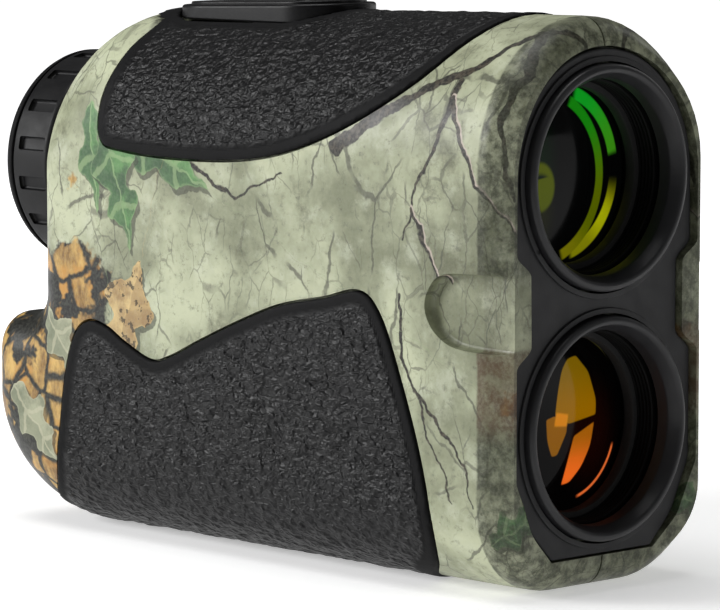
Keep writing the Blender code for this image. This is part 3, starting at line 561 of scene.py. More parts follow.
def make_scallop(side):
    """Finger recess at the waist of the front edge: a rounded tray, open to the front."""
    corners = [(-5, 42.8), (8.8, 42.8), (11.9, 42.0), (13.7, 39.6), (14.0, 37.4),
               (12.6, 34.9), (9.6, 33.1), (5.6, 32.6), (-5, 32.6)]
    points = round_corners([(s * MM, z * MM) for s, z in corners], 0.45, 6)
    floor = (BODY_HALF_WIDTH - 1.6 * MM) * side
    low, high = sorted((floor, floor + 8 * MM * side))
    tray = outline_solid("scallop", points, low, high, "side")
    return soften(tray, 0.7 * MM, 4)


# ---------------------------------------------------------------- soft covers
def edge_distance(points, loop):
    """Distance of each (s, z) point from a closed outline."""
    best = np.full(len(points), 1.0)
    for start, end in zip(loop, loop[1:] + loop[:1]):
        start, end = np.array(start[:]), np.array(end[:])
        along = end - start
        share = np.clip((points - start) @ along / max(along @ along, 1e-12), 0, 1)
        best = np.minimum(best, np.linalg.norm(points - start - share[:, None] * along, axis=1))
    return best


def make_cover(name, node, corners, material, key_gap=None):
    """A rubber cover with a lumpy skin that dies out into a smooth border."""
    loop = smooth_loop(corners)
    cover = body_solid(name + "_skin", -GRIP_PROUD)
    boolean(cover, body_solid("core", GRIP_THICK))
    boolean(cover, outline_solid("inside", loop, -WIDE, WIDE, "side"), "INTERSECT")
    if key_gap:
        boolean(cover, key_gap)
    remesh = cover.modifiers.new("even", "REMESH")
    remesh.mode = "VOXEL"
    remesh.voxel_size = 0.38 * MM
    settle(cover)
    roughen(cover, loop)
    show(cover, material, node, 180)


def roughen(cover, loop):
    """Sink the outer skin by uneven leathery lumps, and store where it is grainy."""
    mesh = cover.data
    count = len(mesh.vertices)
    places = np.empty(count * 3)
    mesh.vertices.foreach_get("co", places)
    places = places.reshape(-1, 3)
    normals = np.empty(count * 3)
    mesh.vertex_normals.foreach_get("vector", normals)
    normals = normals.reshape(-1, 3)
    core = places.copy()
    core[:, 0] = np.clip(core[:, 0], FRONT_X - 82 * MM, FRONT_X)
    core[:, 1] = 0.0
    core[:, 2] = np.clip(core[:, 2], 20 * MM, 56 * MM)
    outward = places - core
    outward /= np.linalg.norm(outward, axis=1)[:, None] + 1e-9
    facing = np.clip(((outward * normals).sum(1) - 0.35) / 0.35, 0, 1)
    side_view = np.column_stack((FRONT_X - places[:, 0], places[:, 2]))
    border = np.clip((edge_distance(side_view, loop) - 1.4 * MM) / (0.8 * MM), 0, 1)
    if cover.name.startswith("top"):
        reach = np.hypot(np.maximum(np.abs(places[:, 0] - (FRONT_X - KEY_S))
                                    - (KEY_HALF_LENGTH - KEY_HALF_WIDTH), 0), places[:, 1])
        near = (reach - KEY_HALF_WIDTH - 1.6 * MM) / (0.8 * MM)
        border *= np.where(places[:, 2] > 66 * MM, np.clip(near, 0, 1), 1)
    depth = facing * border
    for index in np.nonzero(depth > 0.01)[0]:
        x, y, z = places[index] * 1000
        lump = noise.noise(Vector((x * 0.6, y * 0.8, z * 0.9)))
        places[index] += normals[index] * (lump - 0.7) * 0.22 * MM * depth[index]
    mesh.vertices.foreach_set("co", places.ravel())
    mesh.attributes.new("grain", "FLOAT", "POINT").data.foreach_set("value", depth)
    mesh.update()


# ---------------------------------------------------------------- front end
def make_plate(material):
    """Front plate with two ports and a thin raised lip round each."""
    plate = outline_solid("face_plate", plate_outline(), 0.0, PLATE_THICK, "front")
    soften(plate, 0.3 * MM, 3, 50)
    axes = (UPPER_AXIS, LOWER_AXIS)
    lips = []
    for z in axes:
        lip = rod("lip", (0, 0, z), 15.9 * MM, FRONT_X - MM, FRONT_X + LIP, "X", ROUND_STEPS)
        lips.append(soften(lip, 0.12 * MM, 2))
    boolean(plate, lips, "UNION")
    ports = [rod("port", (0, 0, z), 15.2 * MM, FRONT_X - 5 * MM, FRONT_X + 5 * MM, "X",
                 ROUND_STEPS) for z in axes]
    boolean(plate, ports)
    show(plate, material, "front_plate", 30)


def make_objectives(finishes):
    """Retaining rings, ribbed barrels, seals and the two coated lenses."""
    for name, z in (("upper", UPPER_AXIS), ("lower", LOWER_AXIS)):
        ring = [(-1.38, 14.62), (-1.22, 14.79), (-1.02, 14.88), (-0.8, 14.9), (2.0, 14.9),
                (2.0, 12.9), (0.5, 12.92), (0.05, 13.0), (-1.1, 13.62), (-1.36, 13.8),
                (-1.48, 13.98), (-1.5, 14.2), (-1.47, 14.42)]
        ring = ring_along_x(name + "_bezel", ring, z)
        show(ring, finishes["bezel"], name + "_retaining_ring", 40)
        inner = [(24.0, 11.0), (13.5, 11.6), (13.4, 12.8)]
        depth = 7.0
        while depth > 3.2:
            inner += [(depth, 12.8), (depth - 0.12, 12.6), (depth - 0.38, 12.6),
                      (depth - 0.5, 12.8)]
            depth -= 0.62
        barrel = [(2.6, 14.2), (24.0, 14.2)] + inner + [(2.6, 12.8)]
        barrel = ring_along_x(name + "_barrel_tube", barrel, z)
        show(barrel, finishes["barrel"], name + "_lens_barrel", 25)
        seal = [(5.4, 12.5), (7.0, 12.5), (7.0, 11.7), (6.6, 11.62), (5.7, 11.62), (5.4, 11.75)]
        seal = ring_along_x(name + "_seal_ring", seal, z)
        show(seal, finishes["seal"], name + "_lens_seal", 40)
        front = [(7.9 + 0.5 * (k / 12) ** 2, 12.45 * k / 12) for k in range(13)]
        rear = [(12.9 - 1.75 * (k / 12) ** 2, 12.45 * k / 12) for k in range(12, -1, -1)]
        glass = ring_along_x(name + "_front_lens", front + rear, z)
        show(glass, finishes[name + "_glass"], name + "_objective_lens", 40)


# ---------------------------------------------------------------- buttons
ISLAND_FALL = 1.1 * MM                    # the island's top drops this far to its rear end


def slope(obj, low):
    """Tilt everything above a height to follow the falling top of the body."""
    front = FRONT_X - KEY_S + KEY_HALF_LENGTH
    for vert in obj.data.vertices:
        if vert.co.z > low:
            vert.co.z -= ISLAND_FALL * (front - vert.co.x) / (2 * KEY_HALF_LENGTH)
    return obj


def make_buttons(finishes):
    """Island frame and the two interlocking buttons with their pressed rings."""
    low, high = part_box("key_frame")[0].z - 0.9 * MM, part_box("key_frame")[1].z
    frame_ring = outline_solid("island_frame", island(), low, high + 0.2 * MM, "top")
    soften(frame_ring, 0.45 * MM, 5, 50)
    boolean(frame_ring, outline_solid("opening", island(-1.05 * MM), *KEY_CUT, "top"))
    soften(frame_ring, 0.08 * MM, 2, 60)
    slope(frame_ring, high - MM)
    show(frame_ring, finishes["key"], "key_frame", 40)
    for name, forward, body in (("fire", True, "fire_key"), ("mode", False, "mode_key")):
        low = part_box(name + "_button")[0].z + 0.9 * MM
        key = outline_solid(name + "_key", button_outline(forward), low, KEY_TOP + 0.3 * MM, "top")
        soften(key, 0.35 * MM, 4, 50)
        turn = -1 if forward else 1
        ring = [(4.5, 1.0), (4.3, -0.12), (4.0, -0.34), (3.7, -0.42), (3.4, -0.34), (3.1, -0.12),
                (2.9, 1.0)]
        ring = [(radius * MM, height * MM) for radius, height in ring]
        at = place(KEY_S + turn * 9.0 * MM, KEY_TOP + 0.3 * MM)
        boolean(key, turned("pressed_ring", ring, at, "Z", 96))
        slope(key, KEY_TOP - MM)
        stem = (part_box(name + "_switch")[0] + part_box(name + "_switch")[1]) / 2
        stem = rod("stem", (stem.x, 0, 0), 1.5 * MM, low - 0.9 * MM, low + MM, "Z", 32)
        boolean(key, stem, "UNION")
        show(key, finishes["key"], name + "_button", 30, body)


# ---------------------------------------------------------------- eyepiece
SLOTS = 17


def make_eyepiece(finishes):
    """Focusing ring with finger slots, soft eyecup and a stepped inner mount."""
    ring = [(94.3, 15.1), (94.42, 15.42), (94.75, 15.66), (95.1, 15.7), (101.7, 15.7),
            (101.95, 15.62), (102.0, 15.45), (102.0, 13.9), (94.9, 13.9), (94.9, 14.4),
            (94.3, 14.4)]
    focus = ring_along_x("focus_grip", ring, EYE_AXIS, 204)
    bites = bmesh.new()
    for k in range(SLOTS):
        bite = block("bite", (95.2 * MM, 100.9 * MM), (15.05 * MM, 17 * MM), (-MM, MM))
        soften(bite, 0.35 * MM, 3)
        matrix = (Matrix.Translation((0, 0, EYE_AXIS))
                  @ Matrix.Rotation(2 * math.pi * k / SLOTS, 4, "X"))
        bite.data.transform(matrix)
        bites.from_mesh(bite.data)
        drop(bite)
    boolean(focus, from_bmesh("bites", bites))
    show(focus, finishes["knob"], "diopter_ring", 30, "focus_ring")
    cup = [(102.3, 15.55), (102.45, 15.7), (102.9, 15.68), (103.5, 15.45), (104.0, 15.1),
           (104.35, 14.7), (104.5, 14.2), (104.5, 13.7), (104.4, 13.3), (104.15, 12.9),
           (103.75, 12.5), (103.3, 12.3), (102.3, 12.2)]
    cup = ring_along_x("eye_rim", cup, EYE_AXIS)
    show(cup, finishes["rubber"], "eyecup", 50, "focus_ring")
    mount = [(78.4, 12.0), (94.6, 12.0), (94.6, 13.6), (102.0, 13.6), (102.0, 12.6),
             (100.0, 12.42), (99.9, 12.25), (98.0, 12.15), (97.9, 12.0), (95.5, 12.0),
             (95.5, 10.9), (78.4, 10.9)]
    mount = ring_along_x("ocular_tube", mount, EYE_AXIS)
    show(mount, finishes["barrel"], "ocular_mount", 30)
    cell = [(81.5, 10.5), (98.3, 10.5), (98.5, 10.3), (98.5, 9.9), (97.8, 9.55), (97.6, 9.3),
            (97.2, 9.3), (97.1, 9.4), (81.5, 9.4)]
    cell = ring_along_x("ocular_barrel", cell, EYE_AXIS)
    show(cell, finishes["barrel"], "ocular_cell", 30, "ocular")
    for name, node, s, bulge in (("eye_glass", "eye_lens", 94.5, 1.47),
                                 ("field_glass", "field_lens", 85.0, 1.19)):
        half = 2.1 if node == "eye_lens" else 1.7
        front = [(s - half + bulge * (k / 10) ** 2, 9.1 * k / 10) for k in range(11)]
        rear = [(s + half - bulge * (k / 10) ** 2, 9.1 * k / 10) for k in range(10, -1, -1)]
        glass = ring_along_x(name, front + rear, EYE_AXIS)
        show(glass, finishes["eye_glass"], node, 40, "ocular")


# ---------------------------------------------------------------- battery door
def make_door(material):
    """Hinged battery door with a thumb catch and three grip ribs."""
    door = body_solid("rear_door")
    half = DOOR_HIGH.y
    boolean(door, body_solid("core", 2.0 * MM))
    boolean(door, soften(block("panel", (95 * MM, BEHIND), (-half, half),
                               (HINGE.z + GAP, DOOR_HIGH.z)), 0.6 * MM, 4), "INTERSECT")
    dish = rod("dish", (FRONT_X - BUMP_REAR - 9.3 * MM, 0, DOOR_HIGH.z - 6.2 * MM), 10 * MM,
               -5 * MM, 5 * MM, "Y", 96)
    boolean(door, soften(dish, 0.8 * MM, 4))
    for k in (-1, 0, 1):
        rib = rod("rib", (FRONT_X - BUMP_REAR + 0.95 * MM, 0, DOOR_HIGH.z - (6.2 + 1.5 * k) * MM),
                  0.42 * MM, -3.6 * MM, 3.6 * MM, "Y", 24)
        boolean(door, soften(rib, 0.15 * MM, 2), "UNION")
    boolean(door, rod("knuckle", HINGE, 1.3 * MM, -half, half, "Y", 40), "UNION")
    boolean(door, rod("bore", HINGE, 0.8 * MM, -half - MM, half + MM, "Y", 32))
    show(door, material, "battery_door", 30, "door")


# ---------------------------------------------------------------- finishes
class Graph:
    """A material and short names for the shader nodes its finish is built from."""

    def __init__(self, name, **shader):
        self.material = bpy.data.materials.new(name)
        self.material.use_nodes = True
        self.tree = self.material.node_tree
        self.shader = self.tree.nodes["Principled BSDF"]
        for key, value in shader.items():
            self.shader.inputs[key.replace("_", " ")].default_value = value
        place_node = self.tree.nodes.new("ShaderNodeTexCoord")
        self.at = self.scale(place_node.outputs["Object"], 1000.0)
        self.height = None

    def link(self, value, socket):
        """Feed a socket from another node or from a plain value."""
        if isinstance(value, bpy.types.NodeSocket):
            self.tree.links.new(value, socket)
        elif value is not None:
            if isinstance(value, tuple) and len(value) == 3 and socket.type == "RGBA":
                value = (*value, 1.0)
            socket.default_value = value

    def node(self, kind, inputs, output=0, **settings):
        """A node with its settings and inputs; returns one of its outputs."""
        made = self.tree.nodes.new("ShaderNode" + kind)
        for key, value in settings.items():
            setattr(made, key, value)
        for key, value in inputs.items():
            self.link(value, made.inputs[key])
        return made.outputs[output]

    def math(self, operation, a, b=None, c=None, clamp=False):
        return self.node("Math", {0: a, 1: b, 2: c}, operation=operation, use_clamp=clamp)

    def times(self, a, b):
        return self.math("MULTIPLY", a, b)

    def plus(self, a, b):
        return self.math("ADD", a, b)

    def minus(self, a, b, clamp=False):
        return self.math("SUBTRACT", a, b, None, clamp)

    def size(self, a):
        return self.math("ABSOLUTE", a)

    def length(self, a, b):
        """Length of a flat vector."""
        return self.math("SQRT", self.plus(self.times(a, a), self.times(b, b)))

    def vector(self, operation, a, b, output=0):
        return self.node("VectorMath", {0: a, 1: b}, output, operation=operation)

    def scale(self, vector, factor):
        return self.node("VectorMath", {0: vector, "Scale": factor}, operation="SCALE")

    def add(self, vector, other):
        return self.vector("ADD", vector, other)

    def stretch(self, vector, factors):
        return self.vector("MULTIPLY", vector, factors)

    def parts(self, vector):
        """The three components of a vector."""
        made = self.tree.nodes.new("ShaderNodeSeparateXYZ")
        self.link(vector, made.inputs[0])
        return made.outputs[0], made.outputs[1], made.outputs[2]

    def join(self, x, y, z):
        return self.node("CombineXYZ", {0: x, 1: y, 2: z})

    def noise(self, scale, detail=3.0, at=None, rough=0.55, output=0, warp=0.0):
        return self.node("TexNoise", {"Vector": at or self.at, "Scale": scale,
                                      "Detail": detail, "Roughness": rough,
                                      "Distortion": warp}, output)

    def cells(self, scale, at=None, output="Distance", feature="F1", spread=1.0):
        return self.node("TexVoronoi", {"Vector": at or self.at, "Scale": scale,
                                        "Randomness": spread}, output, feature=feature)

    def step(self, value, low, high, start=0.0, end=1.0):
        """Smooth rise from start to end between two values."""
        return self.node("MapRange", {"Value": value, "From Min": low, "From Max": high,
                                      "To Min": start, "To Max": end},
                         interpolation_type="SMOOTHSTEP")

    def fall(self, value, low, high, start=1.0, end=0.0):
        """Smooth fall from start to end between two values."""
        return self.step(value, low, high, start, end)

    def mix(self, share, a, b):
        """Blend two colours."""
        made = self.tree.nodes.new("ShaderNodeMix")
        made.data_type = "RGBA"
        self.link(share, made.inputs[0])
        self.link(a, made.inputs[6])
        self.link(b, made.inputs[7])
        return made.outputs[2]

    def colour(self, value):
        self.link(value, self.shader.inputs["Base Color"])
        return self

    def roughness(self, value):
        self.link(value, self.shader.inputs["Roughness"])
        return self

    def bump(self, height, depth):
        """Add a height field, depth in metres at height one."""
        made = self.tree.nodes.new("ShaderNodeBump")
        made.inputs["Strength"].default_value = 1.0
        made.inputs["Distance"].default_value = depth
        self.link(height, made.inputs["Height"])
        if self.height:
            self.tree.links.new(self.height, made.inputs["Normal"])
        self.height = made.outputs[0]
        self.tree.links.new(self.height, self.shader.inputs["Normal"])
        return self


def shade(base, amount, g, scale=0.5):
    """A base colour that drifts a little lighter and darker."""
    low = tuple(c * (1 - amount) for c in base)
    high = tuple(c * (1 + amount) for c in base)
    return g.mix(g.noise(scale, 4), low, high)


def moulded(name, base, rough, grain=2.6, depth=0.000012, **shader):
    """Fine-grained moulded plastic with slight wear and roughness drift."""
    g = Graph(name, **shader)
    g.colour(shade(base, 0.16, g))
    g.roughness(g.step(g.noise(0.35, 5), 0.3, 0.7, rough - 0.06, rough + 0.07))
    return g.bump(g.noise(grain, 4, rough=0.6), depth).material


def rubber_finish():
    """Soft black rubber: leathery lumps inside a smooth border."""
    g = Graph("grip_rubber", Specular_IOR_Level=0.36)
    g.colour(shade((0.0042, 0.0042, 0.0046), 0.3, g, 0.4))
    grain = g.node("Attribute", {}, 2, attribute_name="grain")
    shine = g.step(g.noise(1.6, 4), 0.3, 0.75, 0.3, 0.16)
    g.roughness(g.minus(0.62, g.times(shine, grain)))
    g.link(g.step(grain, 0.0, 1.0, 0.1, 0.2), g.shader.inputs["Specular IOR Level"])
    wide = g.stretch(g.at, (0.62, 0.8, 1.1))
    lumps = g.noise(1.2, 1.0, at=wide, warp=0.4)
    g.bump(g.times(lumps, grain), 0.0009)
    return g.bump(g.noise(2.4, 2.0, rough=0.5), 0.00004).material


def metal_finish(name, base, rough, stretch):
    """Brushed or drawn metal."""
    g = Graph(name, Metallic=1.0)
    g.colour(shade(base, 0.12, g, 0.8))
    grain = g.noise(1.4, 4, at=g.stretch(g.at, stretch))
    g.roughness(g.step(grain, 0.3, 0.7, rough - 0.08, rough + 0.1))
    return g.bump(grain, 0.00001).material


def board_finish():
    """Green circuit board with lighter traces and round pads."""
    g = Graph("circuit_board", Coat_Weight=0.4)
    x, _, _ = g.parts(g.at)
    track = g.math("PINGPONG", g.plus(x, g.times(g.noise(0.12, 0), 14.0)), 0.7)
    lines = g.step(track, 0.42, 0.5)
    base = g.mix(lines, (0.012, 0.085, 0.032), (0.03, 0.19, 0.075))
    pads = g.fall(g.cells(0.36, spread=0.25), 0.16, 0.2)
    g.colour(g.mix(pads, base, (0.6, 0.5, 0.28)))
    g.roughness(g.step(g.noise(0.6), 0.3, 0.7, 0.3, 0.45))
    return g.bump(g.plus(lines, pads), 0.00003).material


def battery_finish():
    """Printed battery wrap: dark body, a metallic band at the positive end."""
    g = Graph("battery_wrap")
    x, _, _ = g.parts(g.at)
    band = g.fall(x, -39.5, -39.2)
    g.colour(g.mix(band, shade((0.03, 0.04, 0.07), 0.2, g), shade((0.5, 0.3, 0.12), 0.15, g)))
    g.roughness(g.step(g.noise(0.5), 0.3, 0.7, 0.25, 0.4))
    return g.bump(g.noise(3.0), 0.000006).material


def clear_finish(name, tint, transmission):
    """Polished optical glass with a faint coating tint."""
    g = Graph(name, Transmission_Weight=transmission, IOR=1.52, Coat_Weight=0.5)
    g.colour(shade(tint, 0.05, g, 0.2))
    g.roughness(g.step(g.noise(0.2), 0.3, 0.7, 0.02, 0.05))
    return g.material


# ---------------------------------------------------------------- coated lenses, with painted reflections
def band(g, y, z, centre, radius, width, start, end, fade):
    """A curved stripe of painted reflection colour: a slice of a ring between two angles."""
    dy = g.minus(y, centre[0])
    dz = g.minus(z, centre[1])
    away = g.length(dy, dz)
    off = g.size(g.minus(away, radius - width / 2))
    across = g.fall(off, width / 2 - 0.22, width / 2 + 0.06)
    angle = g.times(g.math("ARCTAN2", dz, dy), 180 / math.pi)
    rise = g.step(angle, start - fade, start)
    fall = g.fall(angle, end, end + fade)
    return g.times(across, g.times(rise, fall)), angle


def oval(g, y, z, centre, radii, soft=0.12):
    """A soft-edged filled ellipse."""
    dy = g.math("DIVIDE", g.minus(y, centre[0]), radii[0])
    dz = g.math("DIVIDE", g.minus(z, centre[1]), radii[1])
    away = g.length(dy, dz)
    return g.fall(away, 1 - soft, 1.0)


def facet(g, y, z, corners, soft=0.25, rounding=0.5):
    """A filled convex shape with softened corners; corners run anticlockwise."""
    point = g.join(y, z, 0.0)
    best = None
    for a, b in zip(corners, corners[1:] + corners[:1]):
        edge = (Vector(b) - Vector(a)).normalized()
        inward = g.vector("DOT_PRODUCT", point, (-edge.y, edge.x, 0.0), "Value")
        depth = g.minus(inward, a[1] * edge.x - a[0] * edge.y)
        best = depth if best is None else g.math("SMOOTH_MIN", best, depth, rounding)
    return g.step(best, -soft / 2, soft / 2)


def above(g, y, z, slant, level, soft=0.35):
    """Soft half-plane: true above the line z = slant * y + level."""
    height = g.minus(z, g.math("MULTIPLY_ADD", y, slant, level))
    return g.step(height, -soft / 2, soft / 2)


def lens_graph(name, axis):
    """Dark coated glass; y to the left of the user, z up from the lens axis."""
    g = Graph(name, IOR=1.5, Specular_IOR_Level=0.07)
    _, y, z = g.parts(g.at)
    drift = g.noise(0.12, 2)
    g.roughness(g.step(drift, 0.3, 0.7, 0.04, 0.1))
    return g, y, g.minus(z, axis / MM)


def finish_lens_painted_glow(g, colour, strength):
    """Use the painted reflections as surface colour and again as a painted glow of their own."""
    g.colour(colour)
    # painted glow: the painted reflection colour is also emitted
    g.link(colour, g.shader.inputs["Emission Color"])
    g.shader.inputs["Emission Strength"].default_value = strength
    return g.material


def upper_lens_painted_reflections():
    """Display-side objective: painted reflections as two green crescents that turn yellow-green
    below.
    """
    g, y, z = lens_graph("upper_glass", UPPER_AXIS)
    y = g.minus(y, 0.8)
    colour = (0.0008, 0.0009, 0.0009)
    haze = oval(g, y, z, (-5.0, 2.0), (4.5, 7.5), 0.9)
    colour = g.mix(haze, colour, (0.0006, 0.006, 0.0012))
    low_haze = oval(g, y, z, (-4.5, -5.0), (3.5, 5.5), 0.9)
    colour = g.mix(low_haze, colour, (0.006, 0.007, 0.0004))
    patch = g.times(oval(g, y, z, (-4.6, -2.8), (3.1, 3.4), 0.25),
                   above(g, y, z, 0.15, 0.2, 0.3))
    patch = g.minus(oval(g, y, z, (-4.6, -1.6), (3.0, 3.6), 0.2), patch, clamp=True)
    colour = g.mix(patch, colour, (0.055, 0.07, 0.0))
    green, angle = band(g, y, z, (-1.2, 0.1), 11.9, 1.9, 14.0, 69.0, 5.0)
    colour = g.mix(green, colour, g.mix(g.step(angle, 12, 60), (0.035, 0.22, 0.006),
                                        (0.004, 0.26, 0.012)))
    fading, angle = band(g, y, z, (-1.2, 0.1), 11.9, 1.8, -73.0, -34.0, 30.0)
    shaded = g.mix(g.step(angle, -60, -38), (0.2, 0.2, 0.002), (0.34, 0.36, 0.002))
    colour = g.mix(g.times(fading, g.step(angle, -78.0, -73.0)), colour, shaded)
    inner, angle = band(g, y, z, (-4.4, -0.3), 12.1, 1.6, -66.0, 58.0, 4.0)
    tint = g.mix(g.step(angle, -20, 40), (0.075, 0.1, 0.0), (0.006, 0.17, 0.004))
    tint = g.mix(g.step(angle, -66, -30), (0.16, 0.15, 0.002), tint)
    colour = g.mix(inner, colour, tint)
    return finish_lens_painted_glow(g, colour, 0.75)


def lower_lens_painted_reflections():
    """Receiver objective: painted amber reflections of the filter behind it."""
    g, y, z = lens_graph("lower_glass", LOWER_AXIS)
    y = g.minus(y, 1.2)
    colour = g.mix(oval(g, y, z, (4.5, -2.0), (7.0, 9.5), 0.8), (0.0006, 0.0005, 0.0005),
                   (0.006, 0.0009, 0.0004))
    dome = facet(g, y, z, [(-1.9, 1.0), (0.6, -0.4), (6.0, 0.4), (6.1, 2.4), (4.6, 6.3),
                           (2.2, 8.6), (0.6, 8.3), (-0.5, 7.0), (-1.4, 4.2)])
    amber = g.mix(g.step(z, 0.5, 8.0), (0.23, 0.1, 0.0), (0.15, 0.085, 0.001))
    colour = g.mix(dome, colour, amber)
    sector = facet(g, y, z, [(-3.6, 0.5), (-3.4, -2.4), (-2.5, -4.5), (-1.5, -4.4), (0.3, -1.4),
                             (0.3, 0.0), (-1.9, 0.9)])
    colour = g.mix(sector, colour, (0.2, 0.075, 0.001))
    bright = facet(g, y, z, [(-2.1, -0.5), (0.3, -0.7), (0.6, 0.9), (-1.7, 1.3)], 0.4)
    colour = g.mix(bright, colour, (0.5, 0.17, 0.004))
    wedge = facet(g, y, z, [(5.7, -0.6), (1.6, -2.2), (0.6, -5.1), (-0.6, -8.5), (1.0, -8.3),
                            (3.3, -6.4), (5.0, -3.7)])
    fire = g.mix(g.step(z, -8.2, -1.5), (0.8, 0.13, 0.013), (0.3, 0.09, 0.003))
    colour = g.mix(wedge, colour, fire)
    thin, _ = band(g, y, z, (0.3, -0.9), 10.0, 0.5, -72.0, -22.0, 6.0)
    colour = g.mix(thin, colour, (0.8, 0.15, 0.03))
    rim, _ = band(g, y, z, (0.0, 0.0), 12.0, 0.5, 0.0, 58.0, 10.0)
    colour = g.mix(g.times(rim, 0.7), colour, (0.06, 0.055, 0.01))
    return finish_lens_painted_glow(g, colour, 0.75)


# ---------------------------------------------------------------- printed camouflage
def segment_group():
    """Distance from a flat point to a line, and how far along it the point lies."""
    group = bpy.data.node_groups.new("segment", "ShaderNodeTree")
    face = group.interface
    for name in ("Point", "A", "B"):
        face.new_socket(name, in_out="INPUT", socket_type="NodeSocketVector")
    face.new_socket("Distance", in_out="OUTPUT", socket_type="NodeSocketFloat")
    face.new_socket("Along", in_out="OUTPUT", socket_type="NodeSocketFloat")
    start = group.nodes.new("NodeGroupInput")
    end = group.nodes.new("NodeGroupOutput")

    def vector(operation, a, b, output=0, factor=None):
        made = group.nodes.new("ShaderNodeVectorMath")
        made.operation = operation
        group.links.new(a, made.inputs[0])
        if b:
            group.links.new(b, made.inputs[1])
        if factor:
            group.links.new(factor, made.inputs["Scale"])
        return made.outputs[output]

    span = vector("SUBTRACT", start.outputs["B"], start.outputs["A"])
    reach = vector("SUBTRACT", start.outputs["Point"], start.outputs["A"])
    share = group.nodes.new("ShaderNodeMath")
    share.operation = "DIVIDE"
    share.use_clamp = True
    group.links.new(vector("DOT_PRODUCT", reach, span, "Value"), share.inputs[0])
    group.links.new(vector("DOT_PRODUCT", span, span, "Value"), share.inputs[1])
    near = vector("SCALE", span, None, 0, share.outputs[0])
    away = vector("LENGTH", vector("SUBTRACT", reach, near), None, "Value")
    group.links.new(away, end.inputs["Distance"])
    group.links.new(share.outputs[0], end.inputs["Along"])
    return group


SEGMENT = segment_group()


def segment(g, point, a, b):
    """Distance and share along a line from a to b, both (s, z) in millimetres."""
    made = g.tree.nodes.new("ShaderNodeGroup")
    made.node_tree = SEGMENT
    g.link(point, made.inputs["Point"])
    made.inputs["A"].default_value = (a[0], a[1], 0.0)
    made.inputs["B"].default_value = (b[0], b[1], 0.0)
    return made.outputs["Distance"], made.outputs["Along"]


def branch(g, point, path, width):
    """Distance to a bent tapering branch, less its own half width."""
    best = None
    parts = len(path) - 1
    for k, (a, b) in enumerate(zip(path, path[1:])):
        away, along = segment(g, point, a, b)
        taper = g.math("MULTIPLY_ADD", along, -0.7 * width / parts, width * (1 - 0.7 * k / parts))
        away = g.minus(away, taper)
        best = away if best is None else g.math("MINIMUM", best, away)
    return best


def leaf(g, point, base, tip, width, lobes):
    """Mask and vein lines of a lobed leaf lying from base to tip."""
    base, tip = Vector(base), Vector(tip)
    axis = (tip - base).normalized()
    length = (tip - base).length
    offset = g.add(point, (-base.x, -base.y, 0.0))
    along = g.vector("DOT_PRODUCT", offset, (axis.x, axis.y, 0.0), "Value")
    across = g.vector("DOT_PRODUCT", offset, (-axis.y, axis.x, 0.0), "Value")
    t = g.math("DIVIDE", along, length)
    bulge = g.math("SINE", g.times(g.math("POWER", t, 0.8, clamp=True), math.pi))
    wave = g.math("SINE", g.math("MULTIPLY_ADD", t, 2 * math.pi * lobes, 0.6))
    edge = g.times(g.times(bulge, width), g.math("MULTIPLY_ADD", wave, 0.28, 0.74))
    beside = g.size(across)
    inside = g.minus(edge, beside)
    mask = g.step(inside, -0.08, 0.12)
    rim = g.fall(inside, 0.1, 0.45)
    side = g.step(across, -0.05, 0.15)
    sweep = g.minus(g.times(t, lobes), g.times(beside, 0.55 * lobes / length))
    side_vein = g.fall(g.math("PINGPONG", sweep, 0.5), 0.04, 0.09)
    mid_vein = g.fall(beside, 0.1, 0.24)
    return mask, g.math("MAXIMUM", side_vein, mid_vein), rim, side


def unwrapped(g):
    """(s, z) in millimetres, carried round the arch, the underside and both ends."""
    x, y, z = g.parts(g.at)
    s = g.minus(FRONT_X / MM, x)
    beside = g.size(y)
    half = BODY_HALF_WIDTH / MM
    spring = BODY_TOP / MM - half
    over = g.math("MULTIPLY_ADD", g.math("ARCTAN2", g.minus(z, spring), beside), half, spring)
    height = g.node("Mix", {0: g.step(z, spring - 0.01, spring + 0.01), 2: z, 3: over})
    inward = g.minus(half, beside)
    low = g.fall(z, 0.0, 12.0)
    height = g.minus(height, g.times(inward, low))
    rear = g.times(g.step(s, 84.0, 96.0), g.fall(z, 60.0, 74.0))
    rear = g.times(inward, rear)
    front = g.times(g.fall(s, 0.0, 6.0), g.fall(z, 50.0, 60.0))
    front = g.times(inward, front)
    return g.join(g.minus(g.plus(s, rear), front), height, 0.0)


LEAF_COLOURS = {
    "green": ((0.035, 0.085, 0.035), (0.11, 0.26, 0.085), (0.3, 0.42, 0.2)),
    "pale": ((0.17, 0.19, 0.12), (0.36, 0.37, 0.25), (0.5, 0.48, 0.34)),
    "tan": ((0.3, 0.19, 0.08), (0.6, 0.44, 0.2), (0.7, 0.5, 0.2)),
}

LEAVES = (
    ((81.5, 61.5), (79.0, 46.0), 3.3, 2, "green"),
    ((77.0, 59.5), (56.0, 50.5), 4.4, 3, "green"), ((78.5, 61.0), (72.0, 41.0), 4.8, 3, "green"),
    ((75.0, 26.5), (70.4, 39.5), 6.0, 2, "tan"), ((91.5, 31.5), (82.0, 21.5), 3.6, 3, "pale"),
    ((98.0, 20.0), (88.5, 9.0), 4.0, 3, "pale"), ((2.5, 7.0), (-8.0, 12.0), 3.8, 3, "green"))

